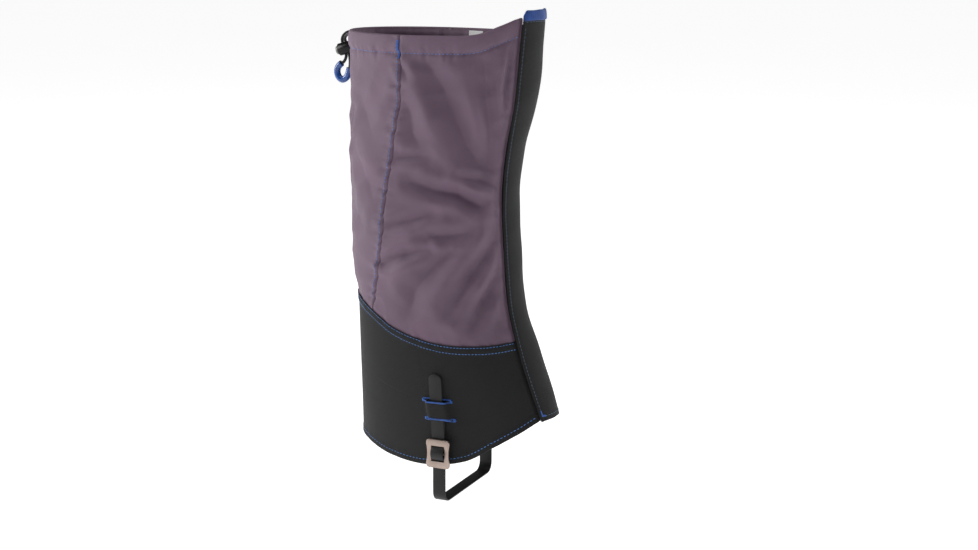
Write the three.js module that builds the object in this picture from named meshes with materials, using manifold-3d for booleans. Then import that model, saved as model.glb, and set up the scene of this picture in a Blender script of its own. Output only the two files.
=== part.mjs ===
// One hiking gaiter for the right leg, as it stands on a boot.
// Millimetres. +Z up the leg, -Y to the toe, -X to the wearer's right (the buckle side).
// The origin is on the leg's axis, level with the underside of the strap that goes under the boot.
import * as THREE from 'three';
import { mergeVertices } from 'three/addons/utils/BufferGeometryUtils.js';
import Module from 'manifold-3d';

const wasm = await Module();
wasm.setup();

// ---- Driving dimensions ------------------------------------------------------------------

// The sleeve's sections: [height, value] pairs, joined by a smooth curve.
const FRONT_LINE = [[30, -129], [70, -116.5], [105, -105], [145, -91], [190, -75.5], [240, -70],
  [300, -67.5], [345, -73], [400, -86.5], [465, -92]];
const BACK_LINE = [[30, 92], [190, 95], [235, 100], [465, 102]];
const HALF_WIDTH = [[30, 51.8], [85, 53], [130, 54.3], [190, 53], [300, 55], [465, 58]];
const NARROWER_FRONT = 0.12;

// Seam lines and edges. Angles go round from the front in degrees, positive to the buckle side.
const SIDE_SEAM_ANGLE = [[150, 136], [186, 128], [242, 114], [290, 108], [335, 103], [400, 100], [465, 102]];
const FLAP_SEAM_ANGLE = [[84, 23], [140, 25], [200, 22], [300, 21.5], [354, 23], [411, 26.5], [467, 25]];
const HEM_HEIGHT = [[0, 86], [24, 83], [43, 72], [61, 58], [78, 43], [100, 36], [122, 39],
  [150, 48], [180, 51]];
const ANKLE_SEAM_HEIGHT = [[0, 161], [26, 160], [53, 157], [80, 158], [108, 169], [128, 183],
  [150, 193], [180, 198]];
const RIM_HEIGHT = [[0, 469], [26, 468], [42, 461], [55, 454], [70, 452], [180, 452]];
const INNER_EDGE_ANGLE = -16;
const FLAP_EDGE_ANGLE = -28;
const UNDERLAP_EDGE_ANGLE = 27;
const FLAP_SPLIT_HEIGHT = 185;

// Layers, as distances out from the middle of the panels' cloth.
const PANEL = [-0.5, 0.5];
const SEAM_TAPE = [-1.5, -0.8];
const UNDERLAP = [-2.9, -1.9];
const LOOP_TAPE = [-1.1, -0.3];
const HOOK_TAPE = [0.9, 1.6];
const FLAP = [2.3, 3.7];
const CHANNEL_LINING = [-6.4, -5.6];
const LABEL = [-7.4, -6.8];
const CORD_LAYER = -3.05;
const SEAM_GAP_ANGLE = 0.2;
const GAP = 0.3;

const CHANNEL_BOTTOM = 434;
const CORD_HEIGHT = 446;
const CORD_DIAMETER = 3;
const CORD_SIDES = 8;

// The strap under the boot and the buckle on the outer side.
const STRAP_WIDTH = 13.4;
const STRAP_THICKNESS = 1.3;
const STRAP_Y = -14.6;
const STRAP_OUTER_FACE = 56.5;
const STRAP_CORNER_RADIUS = 9;
const OUTER_LEG_TOP = 40.2;
const INNER_LEG_TOP = 58;
const TAIL_BOTTOM = 48.6;
const TAIL_TOP = 129;
const TAIL_LEAN = 0.062;
const BRIDGE_BOTTOM = 84;
const BRIDGE_TOP = 102;
const BRIDGE_HALF_ANGLE = 7.6;
const BRIDGE_ANGLE = 87.3;
const BRIDGE_RISE = 5.5;
const SLOT_OPENING = 2.4;

const BUCKLE_WIDTH = 25;
const BUCKLE_BOTTOM = 36;
const BUCKLE_TOP = 64.6;
const BUCKLE_THICKNESS = 2.4;
const BUCKLE_BACK = 57.5;
const WINDOW_WIDTH = 14;
const WINDOW_BOTTOM = 42.6;
const WINDOW_TOP = 58.2;
const CENTRE_BAR = { x: -58.7, z: 50.4, radius: 1.2 };
const ANCHOR_THICKNESS = 0.7;
const ANCHOR_WIDTH = 12;

// The cord lock: a barrel that points back and a little down.
const LOCK_START = new THREE.Vector3(0, 104.4, 435);
const LOCK_TILT = THREE.MathUtils.degToRad(16);
const LOCK_AXIS = new THREE.Vector3(0, Math.cos(LOCK_TILT), -Math.sin(LOCK_TILT));
const LOCK_UP = new THREE.Vector3(0, Math.sin(LOCK_TILT), Math.cos(LOCK_TILT));
const LOCK_LENGTH = 15.5;
const LOCK_RADIUS = 6.1;
const LOCK_BORE_RADIUS = 4.4;
const LOCK_BORE_START = 1;
const PLUNGER_RADIUS = 4.1;
const PLUNGER = [4.1, 18.4];
const PLUNGER_SLOT = [5.2, 14.3];
const BODY_SLOT = [5.2, 12.3];
const SLOT_WIDTH = 3.9;
const SPRING = { from: 1.22, to: 1.86, turns: 1.5, radius: 3, wire: 0.15 };
const STRAND_A = 7;
const STRAND_B = 10.5;

// The lace hook inside the front of the hem.
const HOOK_BAR = { y: -97.4, z: 108 };
const HOOK_WIDTH = 10;
const HOOK_THICKNESS = 1.2;
const HOOK_BEND_RADIUS = 2.2;
const HOOK_SLOT = { from: -3.6, to: -0.6, width: 8 };

// ---- Colours and finishes ----------------------------------------------------------------

function finish(colour, roughness, metalness = 0) {
  return new THREE.MeshStandardMaterial({ color: colour, roughness, metalness });
}

const PURPLE = finish(0x7d6878, 0.75);
const BLACK_CLOTH = finish(0x262629, 0.85);
const BLACK_TAPE = finish(0x1d1d20, 0.9);
const BLUE_TAPE = finish(0x224284, 0.7);
const BLUE_TUBE = finish(0x1d4583, 0.3);
const BLACK_PLASTIC = finish(0x1f1e1b, 0.4);
const GREY_PLASTIC = finish(0x777777, 0.5);
const BLACK_CORD = finish(0x18181a, 0.8);
const STRAP_GREY = finish(0x363638, 0.5);
const NICKEL = finish(0x90867c, 0.35, 1);
const STEEL = finish(0x8a8a8c, 0.35, 1);
const WHITE_LABEL = finish(0xe8e8e6, 0.8);

const gaiter = new THREE.Group();

function add(name, geometry, material) {
  const mesh = new THREE.Mesh(geometry, material);
  mesh.name = name;
  gaiter.add(mesh);
  return mesh;
}

// ---- Shape helpers -----------------------------------------------------------------------

/** A smooth curve through [position, value] pairs. */
function along(pairs, position) {
  const last = pairs.length - 1;
  const t = THREE.MathUtils.clamp(position, pairs[0][0], pairs[last][0]);
  let i = 0;
  while (i < last - 1 && t > pairs[i + 1][0]) i += 1;
  const slope = (k) => {
    const a = pairs[Math.max(k - 1, 0)];
    const b = pairs[Math.min(k + 1, last)];
    return (b[1] - a[1]) / (b[0] - a[0]);
  };
  const h = pairs[i + 1][0] - pairs[i][0];
  const u = (t - pairs[i][0]) / h;
  const u2 = u * u;
  const u3 = u2 * u;
  return (2 * u3 - 3 * u2 + 1) * pairs[i][1] + (u3 - 2 * u2 + u) * h * slope(i)
    + (3 * u2 - 2 * u3) * pairs[i + 1][1] + (u3 - u2) * h * slope(i + 1);
}

/** The angle's distance from the front, the same on both sides of the leg. */
function fromFront(angle) {
  const turn = Math.abs(angle) % 360;
  return turn > 180 ? 360 - turn : turn;
}

/** A point of the sleeve at an angle and height, a distance out from the panels' middle. */
function sleevePoint(angle, height, out) {
  const turn = THREE.MathUtils.degToRad(angle);
  const front = along(FRONT_LINE, height);
  const back = along(BACK_LINE, height);
  const half = along(HALF_WIDTH, height);
  const depth = (back - front) / 2;
  const sine = Math.sin(turn);
  const cosine = Math.cos(turn);
  const tangent = new THREE.Vector2(-half * cosine + half * NARROWER_FRONT * Math.cos(2 * turn), depth * sine);
  tangent.normalize();
  const x = -half * sine * (1 - NARROWER_FRONT * cosine);
  const y = (front + back) / 2 - depth * cosine;
  return new THREE.Vector3(x - tangent.y * out, y + tangent.x * out, height);
}

const hem = (angle) => along(HEM_HEIGHT, fromFront(angle));
const ankleSeam = (angle) => along(ANKLE_SEAM_HEIGHT, fromFront(angle));
const rim = (angle) => along(RIM_HEIGHT, fromFront(angle));
const sideSeam = (height) => along(SIDE_SEAM_ANGLE, height);
const flapSeam = (height) => along(FLAP_SEAM_ANGLE, height);

const valueAt = (value, ...at) => (typeof value === 'function' ? value(...at) : value);

/** The surface grid of a patch: angles run between two lines of height, heights between two of angle. */
function patchPoints(angles, heights, out, across, up) {
  const points = [];
  for (let i = 0; i <= across; i += 1) {
    for (let j = 0; j <= up; j += 1) {
      let height = (valueAt(heights[0], 90) + valueAt(heights[1], 90)) / 2;
      let angle = 0;
      for (let pass = 0; pass < 6; pass += 1) {
        angle = THREE.MathUtils.lerp(valueAt(angles[0], height), valueAt(angles[1], height), i / across);
        height = THREE.MathUtils.lerp(valueAt(heights[0], angle), valueAt(heights[1], angle), j / up);
      }
      points.push(sleevePoint(angle, height, valueAt(out, angle, height)));
    }
  }
  return points;
}

/** A closed sheet of cloth: a patch of the sleeve between two layers. */
function sheet(angles, heights, [inner, outer], across, up) {
  const shell = [...patchPoints(angles, heights, outer, across, up),
    ...patchPoints(angles, heights, inner, across, up)];
  const rows = up + 1;
  const below = (across + 1) * rows;
  const index = [];
  const quad = (a, b, c, d) => index.push(a, b, c, a, c, d);
  for (let i = 0; i < across; i += 1) {
    for (let j = 0; j < up; j += 1) {
      const a = i * rows + j;
      quad(a, a + 1, a + rows + 1, a + rows);
      quad(below + a, below + a + rows, below + a + rows + 1, below + a + 1);
    }
    const low = i * rows;
    const high = low + up;
    quad(low, low + rows, below + low + rows, below + low);
    quad(high + rows, high, below + high, below + high + rows);
  }
  for (let j = 0; j < up; j += 1) {
    const end = across * rows + j;
    quad(j + 1, j, below + j, below + j + 1);
    quad(end, end + 1, below + end + 1, below + end);
  }
  return geometryOf(shell.flatMap((p) => [p.x, p.y, p.z]), index);
}

function geometryOf(positions, index) {
  const geometry = new THREE.BufferGeometry();
  geometry.setAttribute('position', new THREE.Float32BufferAttribute(positions, 3));
  geometry.setIndex(index);
  geometry.computeVertexNormals();
  return geometry;
}

function solidOf(geometry) {
  const bare = geometry.clone();
  bare.deleteAttribute('normal');
  bare.deleteAttribute('uv');
  const merged = mergeVertices(bare, 1e-4);
  return new wasm.Manifold(new wasm.Mesh({
    numProp: 3,
    vertProperties: new Float32Array(merged.attributes.position.array),
    triVerts: new Uint32Array(merged.index.array),
  }));
}

function geometryFrom(solid) {
  const mesh = solid.getMesh();
  return geometryOf(Array.from(mesh.vertProperties), Array.from(mesh.triVerts));
}

function cut(geometry, ...tools) {
  return geometryFrom(tools.reduce((solid, tool) => solid.subtract(solidOf(tool)), solidOf(geometry)));
}

function join(geometry, ...others) {
  return geometryFrom(others.reduce((solid, other) => solid.add(solidOf(other)), solidOf(geometry)));
}

/** A box between two corners. */
function block(low, high) {
  const size = high.map((value, i) => value - low[i]);
  const geometry = new THREE.BoxGeometry(...size);
  return geometry.translate(...low.map((value, i) => value + size[i] / 2));
}

/** A ribbon that follows points of the XZ plane and is wide along Y. */
function ribbon(points, thickness, centreY, width) {
  const sides = [[], []];
  points.forEach((point, i) => {
    const before = points[Math.max(i - 1, 0)];
    const after = points[Math.min(i + 1, points.length - 1)];
    const normal = new THREE.Vector2(before.y - after.y, after.x - before.x).normalize();
    sides[0].push(point.clone().addScaledVector(normal, thickness / 2));
    sides[1].unshift(point.clone().addScaledVector(normal, -thickness / 2));
  });
  const outline = new THREE.Shape([...sides[0], ...sides[1]]);
  const geometry = new THREE.ExtrudeGeometry(outline, { depth: width, bevelEnabled: false });
  return geometry.rotateX(Math.PI / 2).translate(0, centreY + width / 2, 0);
}

function arc(centreX, centreZ, radius, from, to, steps) {
  return Array.from({ length: steps + 1 }, (_, i) => {
    const turn = THREE.MathUtils.degToRad(THREE.MathUtils.lerp(from, to, i / steps));
    return new THREE.Vector2(centreX + radius * Math.cos(turn), centreZ + radius * Math.sin(turn));
  });
}

function circle(radius, sides) {
  const path = new THREE.Path();
  path.setFromPoints(arc(0, 0, radius, 0, 360 - 360 / sides, sides - 1));
  return path;
}

/** A round tube, solid or hollow, along a smooth curve through points. */
function tube(curve, outerRadius, innerRadius, steps, sides = CORD_SIDES) {
  const section = new THREE.Shape(circle(outerRadius, sides).getPoints());
  if (innerRadius > 0) section.holes.push(circle(innerRadius, sides));
  return new THREE.ExtrudeGeometry(section, { steps, extrudePath: curve, bevelEnabled: false });
}

const curveThrough = (points) => new THREE.CatmullRomCurve3(points.map((p) => new THREE.Vector3(...p)));

/** A cylinder or a box set along the lock's axis, from one distance to another. */
function alongLock(geometry, start, end) {
  const frame = new THREE.Matrix4().makeBasis(new THREE.Vector3(1, 0, 0), LOCK_AXIS, LOCK_UP);
  frame.setPosition(LOCK_START.clone().addScaledVector(LOCK_AXIS, (start + end) / 2));
  return geometry.applyMatrix4(frame);
}

const lockCylinder = (radius, [start, end], sides = 32) => (
  alongLock(new THREE.CylinderGeometry(radius, radius, end - start, sides), start, end));
const lockBox = (width, height, [start, end]) => (
  alongLock(new THREE.BoxGeometry(width, end - start, height), start, end));

/** A point by its distance along the lock's axis and its height across it. */
function lockPoint(distance, height) {
  const point = LOCK_START.clone().addScaledVector(LOCK_AXIS, distance).addScaledVector(LOCK_UP, height);
  return [point.x, point.y, point.z];
}

// ---- Cloth panels ------------------------------------------------------------------------

function addUpperPanels() {
  const above = (angle) => ankleSeam(angle) + GAP;
  add('upper_outer_panel', sheet([(z) => flapSeam(z) + SEAM_GAP_ANGLE, (z) => sideSeam(z) - SEAM_GAP_ANGLE],
    [above, rim], PANEL, 10, 16), PURPLE);
  add('upper_inner_panel', sheet([(z) => -sideSeam(z) + SEAM_GAP_ANGLE, INNER_EDGE_ANGLE],
    [above, rim], PANEL, 12, 16), PURPLE);
  const calf = sheet([(z) => sideSeam(z) + SEAM_GAP_ANGLE, (z) => 360 - sideSeam(z) - SEAM_GAP_ANGLE],
    [above, rim], PANEL, 16, 16);
  add('calf_panel', cut(calf, cordHole(-1), cordHole(1)), PURPLE);
}

/** The slanting hole where one end of the drawcord leaves the channel. */
function cordHole(side, halfWidth = 4.2, halfHeight = 2.5) {
  const hole = new THREE.CylinderGeometry(1, 1, 8, 16);
  hole.scale(halfWidth, 1, halfHeight);
  return hole.translate(side * 6.6, 101.4, CORD_HEIGHT + 0.6);
}

/** How far the strip of cloth between the two slots stands out over the strap. */
function bridgeOut(angle) {
  const share = Math.min(1, (BRIDGE_HALF_ANGLE - Math.abs(angle - BRIDGE_ANGLE)) / 2.6);
  return BRIDGE_RISE * Math.max(0, share);
}

function addAnklePanels() {
  const below = (angle) => ankleSeam(angle) - GAP;
  const outer = sheet([(z) => flapSeam(z) + SEAM_GAP_ANGLE, 180 - SEAM_GAP_ANGLE],
    [hem, below], PANEL, 20, 8);
  const left = BRIDGE_ANGLE - BRIDGE_HALF_ANGLE;
  const right = BRIDGE_ANGLE + BRIDGE_HALF_ANGLE;
  const window = sheet([left + 0.4, right - 0.4],
    [BRIDGE_BOTTOM - SLOT_OPENING, BRIDGE_TOP + SLOT_OPENING], [-3, 3], 4, 2);
  const bridge = sheet([left - 0.3, right + 0.3], [BRIDGE_BOTTOM, BRIDGE_TOP],
    [(angle) => bridgeOut(angle) - 0.45, (angle) => bridgeOut(angle) + 0.55], 14, 2);
  add('ankle_outer_panel', join(cut(outer, window), bridge), BLACK_CLOTH);
  add('ankle_inner_panel', sheet([-180 + SEAM_GAP_ANGLE, INNER_EDGE_ANGLE],
    [hem, below], PANEL, 20, 8), BLACK_CLOTH);
  for (const [name, low, high] of [['upper_slot_binding', BRIDGE_TOP - 2, BRIDGE_TOP - 0.2],
    ['lower_slot_binding', BRIDGE_BOTTOM + 0.2, BRIDGE_BOTTOM + 2]]) {
    add(name, sheet([left - 0.3, right + 0.3], [low, high],
      [(angle) => bridgeOut(angle) + 1.2, (angle) => bridgeOut(angle) + 1.8], 14, 1), BLUE_TAPE);
  }
}

function addSeamTapes() {
  const facing = (angle) => hem(angle) + 9;
  const start = (angle) => hem(angle) + 0.5;
  add('hem_facing_outer', sheet([(z) => flapSeam(z) + 1, 179.5], [start, facing], SEAM_TAPE, 18, 1),
    BLACK_TAPE);
  add('hem_facing_inner', sheet([-179.5, INNER_EDGE_ANGLE - 12], [start, facing], SEAM_TAPE, 18, 1),
    BLACK_TAPE);
  const tapeLow = (angle) => ankleSeam(angle) - 9;
  const tapeHigh = (angle) => ankleSeam(angle) - 0.6;
  add('ankle_seam_tape_outer', sheet([(z) => flapSeam(z) + 1, 179.5], [tapeLow, tapeHigh], SEAM_TAPE, 18, 1),
    BLACK_TAPE);
  add('ankle_seam_tape_inner', sheet([-179.5, INNER_EDGE_ANGLE - 12], [tapeLow, tapeHigh], SEAM_TAPE, 18, 1),
    BLACK_TAPE);
  const sideLow = (angle) => ankleSeam(angle) + 1.5;
  const sideHigh = CHANNEL_BOTTOM - 1;
  add('side_seam_tape_outer', sheet([(z) => sideSeam(z) - 3, (z) => sideSeam(z) + 3],
    [sideLow, sideHigh], SEAM_TAPE, 2, 14), PURPLE);
  add('side_seam_tape_inner', sheet([(z) => -sideSeam(z) - 3, (z) => -sideSeam(z) + 3],
    [sideLow, sideHigh], SEAM_TAPE, 2, 14), PURPLE);
  add('heel_seam_tape', sheet([177, 183], [(angle) => hem(angle) + 10, (angle) => ankleSeam(angle) - 10],
    SEAM_TAPE, 2, 4), BLACK_TAPE);
}

// ---- The front closure -------------------------------------------------------------------

function addFrontClosure() {
  const flapAngles = [FLAP_EDGE_ANGLE, (z) => flapSeam(z) - 0.6];
  add('front_flap', sheet(flapAngles, [FLAP_SPLIT_HEIGHT, (angle) => rim(angle) - 0.5], FLAP, 8, 12),
    BLACK_CLOTH);
  add('front_flap_lower', sheet(flapAngles, [(angle) => hem(angle) - 0.5, FLAP_SPLIT_HEIGHT - GAP], FLAP, 8, 5),
    BLACK_CLOTH);
  add('pull_tab', sheet([FLAP_EDGE_ANGLE + 1, (z) => flapSeam(z) - 1],
    [rim, (angle) => rim(angle) + 6.5], [2.4, 3.6], 8, 1), BLUE_TAPE);
  add('underlap', sheet([INNER_EDGE_ANGLE - 10, UNDERLAP_EDGE_ANGLE],
    [(angle) => hem(angle) + 2, (angle) => rim(angle) - 6], UNDERLAP, 8, 16), BLACK_CLOTH);
  const hooks = [-13, 11];
  add('flap_hook_tape', sheet(hooks, [FLAP_SPLIT_HEIGHT + 8, 456], HOOK_TAPE, 4, 12), BLACK_TAPE);
  add('flap_hook_tape_lower', sheet(hooks, [96, FLAP_SPLIT_HEIGHT - 3], HOOK_TAPE, 4, 4), BLACK_TAPE);
  add('loop_tape', sheet([-14.5, 12.5], [95, 457], LOOP_TAPE, 4, 16), BLACK_TAPE);
}

/** The hook that catches the boot's laces, on a short tab of tape inside the front of the hem. */
function addLaceHook() {
  const { y, z } = HOOK_BAR;
  const profile = [new THREE.Vector2(0, 0.6), new THREE.Vector2(0, -12),
    ...arc(-HOOK_BEND_RADIUS, -12, HOOK_BEND_RADIUS, 0, -180, 8),
    new THREE.Vector2(-2 * HOOK_BEND_RADIUS, -9.5)];
  const plate = ribbon(profile, HOOK_THICKNESS, 0, HOOK_WIDTH);
  plate.rotateZ(Math.PI / 2).translate(0, y, z);
  const slot = block([-HOOK_SLOT.width / 2, y - 3, z + HOOK_SLOT.from],
    [HOOK_SLOT.width / 2, y + 3, z + HOOK_SLOT.to]);
  add('lace_hook', cut(plate, slot), STEEL);
  const loop = [new THREE.Vector2(2.2, 14), new THREE.Vector2(-1.5, 1),
    ...arc(0, -0.2, 1.55, 180, 360, 8), new THREE.Vector2(1.5, 1), new THREE.Vector2(4.6, 14)];
  const tab = ribbon(loop, 0.7, 0, 7);
  tab.rotateZ(Math.PI / 2).translate(0, y, z);
  add('lace_hook_tab', tab, BLACK_TAPE);
}

// ---- Top edge: channel, drawcord, lock and pull loop -------------------------------------

/** The drawcord's route outside the channel: out of one hole, through the lock, round, and back. */
const CORD_ROUTE = [
  [-14, 96.9, 446.0], [-10, 98.6, 446.2], [-6.4, 102.0, 446.6], [-3.6, 106.6, 447.0], [-1.3, 111.0, 445.4],
  lockPoint(STRAND_A, 9.3), lockPoint(STRAND_A, 4), lockPoint(STRAND_A, -4), lockPoint(STRAND_A, -8.4),
  [0, 108.3, 418.6], [0, 109.3, 410.6], [0, 112.3, 403.9], [0, 117.0, 401.4], [0, 121.0, 403.9],
  [0, 122.6, 408.8], [0, 121.6, 413.4], [0, 118.4, 416.8], [0, 114.7, 419.6],
  lockPoint(STRAND_B, -7.4), lockPoint(STRAND_B, -3), lockPoint(STRAND_B, 4), lockPoint(STRAND_B, 8.6),
  [1.4, 116.0, 444.6], [3.2, 112.0, 448.0], [4.8, 107.0, 448.0], [6.8, 102.0, 447.0], [10, 98.6, 446.2],
  [14, 96.9, 446.0],
];
const CORD_STEPS = 72;

/** The part of a curve between two shares of its length. */
class Stretch extends THREE.Curve {
  constructor(curve, from, to) {
    super();
    this.curve = curve;
    this.from = from;
    this.to = to;
  }

  getPoint(t, target = new THREE.Vector3()) {
    return target.copy(this.curve.getPointAt(THREE.MathUtils.lerp(this.from, this.to, t)));
  }
}

function addDrawcord() {
  const route = curveThrough(CORD_ROUTE);
  add('drawcord_loop', tube(route, CORD_DIAMETER / 2, 0, CORD_STEPS), BLACK_CORD);
  add('cord_sleeve', tube(new Stretch(route, 0.37, 0.62), 3.3, 2.05, 18, 12), BLUE_TUBE);
  for (const [name, side] of [['drawcord_outer_run', 1], ['drawcord_inner_run', -1]]) {
    const ring = [];
    for (let angle = 34; angle <= 166; angle += 12) {
      ring.push(sleevePoint(side * angle, CORD_HEIGHT, CORD_LAYER).toArray());
    }
    add(name, tube(curveThrough(ring), CORD_DIAMETER / 2, 0, 26), BLACK_CORD);
  }
}

function addChannel() {
  add('channel_lining', sheet([32, 328], [CHANNEL_BOTTOM, (angle) => rim(angle) - 1.5], CHANNEL_LINING, 36, 1),
    PURPLE);
  for (const [name, side] of [['eyelet_outer', -1], ['eyelet_inner', 1]]) {
    const oval = (width, depth) => circle(1, 20).getPoints()
      .map((p) => new THREE.Vector2(p.x * width, p.y * depth));
    const ring = new THREE.Shape(oval(5.8, 4));
    ring.holes.push(new THREE.Path(oval(4.4, 2.7)));
    const eyelet = new THREE.ExtrudeGeometry(ring, { depth: 0.9, bevelEnabled: false });
    eyelet.rotateX(-Math.PI / 2).rotateZ(-side * THREE.MathUtils.degToRad(9));
    add(name, eyelet.translate(side * 6.6, 102.5, CORD_HEIGHT + 0.6), BLACK_PLASTIC);
  }
  add('care_label', sheet([-88, -78], [426, 450], LABEL, 2, 2), WHITE_LABEL);
}

function addCordLock() {
  const through = LOCK_RADIUS * 3;
  const barrel = lockCylinder(LOCK_RADIUS, [0, LOCK_LENGTH]);
  const bore = lockCylinder(LOCK_BORE_RADIUS, [LOCK_BORE_START, LOCK_LENGTH + 1]);
  add('cord_lock_body', cut(barrel, bore, lockBox(SLOT_WIDTH, through, BODY_SLOT)), BLACK_PLASTIC);
  const plunger = lockCylinder(PLUNGER_RADIUS, PLUNGER);
  add('cord_lock_button', cut(plunger, lockBox(SLOT_WIDTH, through, PLUNGER_SLOT)), GREY_PLASTIC);
  const coil = [];
  const perTurn = 12;
  const last = SPRING.turns * perTurn;
  for (let i = 0; i <= last; i += 1) {
    const turn = (i / perTurn) * Math.PI * 2;
    const distance = THREE.MathUtils.lerp(SPRING.from, SPRING.to, i / last);
    const [, y, z] = lockPoint(distance, SPRING.radius * Math.sin(turn));
    coil.push([SPRING.radius * Math.cos(turn), y, z]);
  }
  add('cord_lock_spring', tube(curveThrough(coil), SPRING.wire, 0, SPRING.turns * 16, 6), STEEL);
}

// ---- Strap and buckle --------------------------------------------------------------------

function addInstepStrap() {
  const face = STRAP_OUTER_FACE - STRAP_THICKNESS / 2;
  const middle = STRAP_THICKNESS / 2;
  const radius = STRAP_CORNER_RADIUS + middle;
  const path = [new THREE.Vector2(-face, OUTER_LEG_TOP),
    ...arc(-face + radius, middle + radius, radius, 180, 270, 8),
    ...arc(face - radius, middle + radius, radius, 270, 360, 8),
    new THREE.Vector2(face, INNER_LEG_TOP)];
  add('instep_strap', ribbon(path, STRAP_THICKNESS, STRAP_Y, STRAP_WIDTH), STRAP_GREY);
}

function addStrapTail() {
  const half = STRAP_WIDTH / 2;
  const length = TAIL_TOP - TAIL_BOTTOM;
  const tip = arc(0, length - 4.6, half, 12, 168, 10).map((p) => new THREE.Vector2(p.x, p.y));
  tip.forEach((p) => { p.y = length - 4.6 + (p.y - (length - 4.6)) * (4.6 / half); });
  const outline = new THREE.Shape([new THREE.Vector2(-half, 0), new THREE.Vector2(half, 0), ...tip]);
  const tail = new THREE.ExtrudeGeometry(outline, { depth: STRAP_THICKNESS, bevelEnabled: false });
  // The outline's own X and Y become Y and Z, and its thickness goes inwards from the outer face.
  tail.applyMatrix4(new THREE.Matrix4().makeBasis(
    new THREE.Vector3(0, 1, 0), new THREE.Vector3(0, 0, 1), new THREE.Vector3(1, 0, 0)));
  tail.rotateX(-Math.atan(TAIL_LEAN));
  add('strap_tail', tail.translate(-STRAP_OUTER_FACE, STRAP_Y, TAIL_BOTTOM), STRAP_GREY);
}

function addBuckle() {
  const half = BUCKLE_WIDTH / 2;
  const height = BUCKLE_TOP - BUCKLE_BOTTOM;
  const corner = 3.4;
  const waist = 1.2;
  const outline = new THREE.Shape();
  outline.moveTo(-half + corner, 0);
  outline.lineTo(half - corner, 0);
  outline.quadraticCurveTo(half, 0, half, corner + 1);
  outline.quadraticCurveTo(half - waist * 2, height / 2, half, height - corner - 1);
  outline.quadraticCurveTo(half, height, half - corner, height);
  outline.lineTo(-half + corner, height);
  outline.quadraticCurveTo(-half, height, -half, height - corner - 1);
  outline.quadraticCurveTo(-half + waist * 2, height / 2, -half, corner + 1);
  outline.quadraticCurveTo(-half, 0, -half + corner, 0);
  const frame = new THREE.ExtrudeGeometry(outline,
    { depth: BUCKLE_THICKNESS - 1, bevelSize: 0.5, bevelThickness: 0.5, bevelOffset: -0.5, bevelSegments: 2,
      curveSegments: 6 });
  frame.applyMatrix4(new THREE.Matrix4().makeBasis(
    new THREE.Vector3(0, 1, 0), new THREE.Vector3(0, 0, 1), new THREE.Vector3(1, 0, 0)));
  frame.translate(-BUCKLE_BACK - BUCKLE_THICKNESS + 0.5, STRAP_Y, BUCKLE_BOTTOM);
  const window = block([-BUCKLE_BACK - 5, STRAP_Y - WINDOW_WIDTH / 2, WINDOW_BOTTOM],
    [-BUCKLE_BACK + 5, STRAP_Y + WINDOW_WIDTH / 2, WINDOW_TOP]);
  const bar = new THREE.CylinderGeometry(CENTRE_BAR.radius, CENTRE_BAR.radius, WINDOW_WIDTH + 3, 20);
  bar.translate(CENTRE_BAR.x, STRAP_Y, CENTRE_BAR.z);
  add('buckle_frame', join(cut(frame, window), bar), NICKEL);
}

function addBuckleStraps() {
  const bend = new THREE.SplineCurve([[-58.4, 43.7], [-60.9, 46.1], [-62.3, 50.4], [-61.1, 54.7], [-58.5, 57.2]]
    .map((p) => new THREE.Vector2(...p)));
  add('strap_bend', ribbon(bend.getPoints(14), STRAP_THICKNESS, STRAP_Y, STRAP_WIDTH - 0.2), STRAP_GREY);
  const back = -54.55;
  const radius = 3;
  const turnHeight = 49;
  const path = [new THREE.Vector2(back, BRIDGE_TOP - 4),
    ...arc(back - radius, turnHeight, radius, 0, -180, 10),
    new THREE.Vector2(back - 2 * radius, CENTRE_BAR.z + 1.4)];
  add('buckle_anchor_loop', ribbon(path, ANCHOR_THICKNESS, STRAP_Y + 1, ANCHOR_WIDTH), BLACK_TAPE);
}

/** The sewn cover that holds the strap's fixed end on the inner side of the ankle. */
function addStrapAnchorPatch() {
  const half = STRAP_WIDTH / 2;
  const outside = block([54.7, STRAP_Y - half - 2, 42], [STRAP_OUTER_FACE + 1.6, STRAP_Y + half + 2, 68]);
  const inside = block([50, STRAP_Y - half - 0.5, 40], [STRAP_OUTER_FACE + 0.4, STRAP_Y + half + 0.5, 66.5]);
  add('strap_anchor_patch', cut(outside, inside), BLACK_CLOTH);
}

addUpperPanels();
addAnklePanels();
addSeamTapes();
addFrontClosure();
addLaceHook();
addChannel();
addDrawcord();
addCordLock();
addInstepStrap();
addStrapTail();
addBuckle();
addBuckleStraps();
addStrapAnchorPatch();

export default gaiter;
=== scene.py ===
"""The looks of a hiking gaiter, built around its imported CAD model.

The sleeve is drawn from the same section lines as the CAD part: a place on it is an angle in degrees
round from the front, positive to the buckle side, a height in millimetres and a distance out from the
cloth's middle in millimetres. Everything that reaches Blender is in metres.
"""

import math

import bmesh
import bpy
import numpy as np
from mathutils import Matrix, Vector


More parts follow.
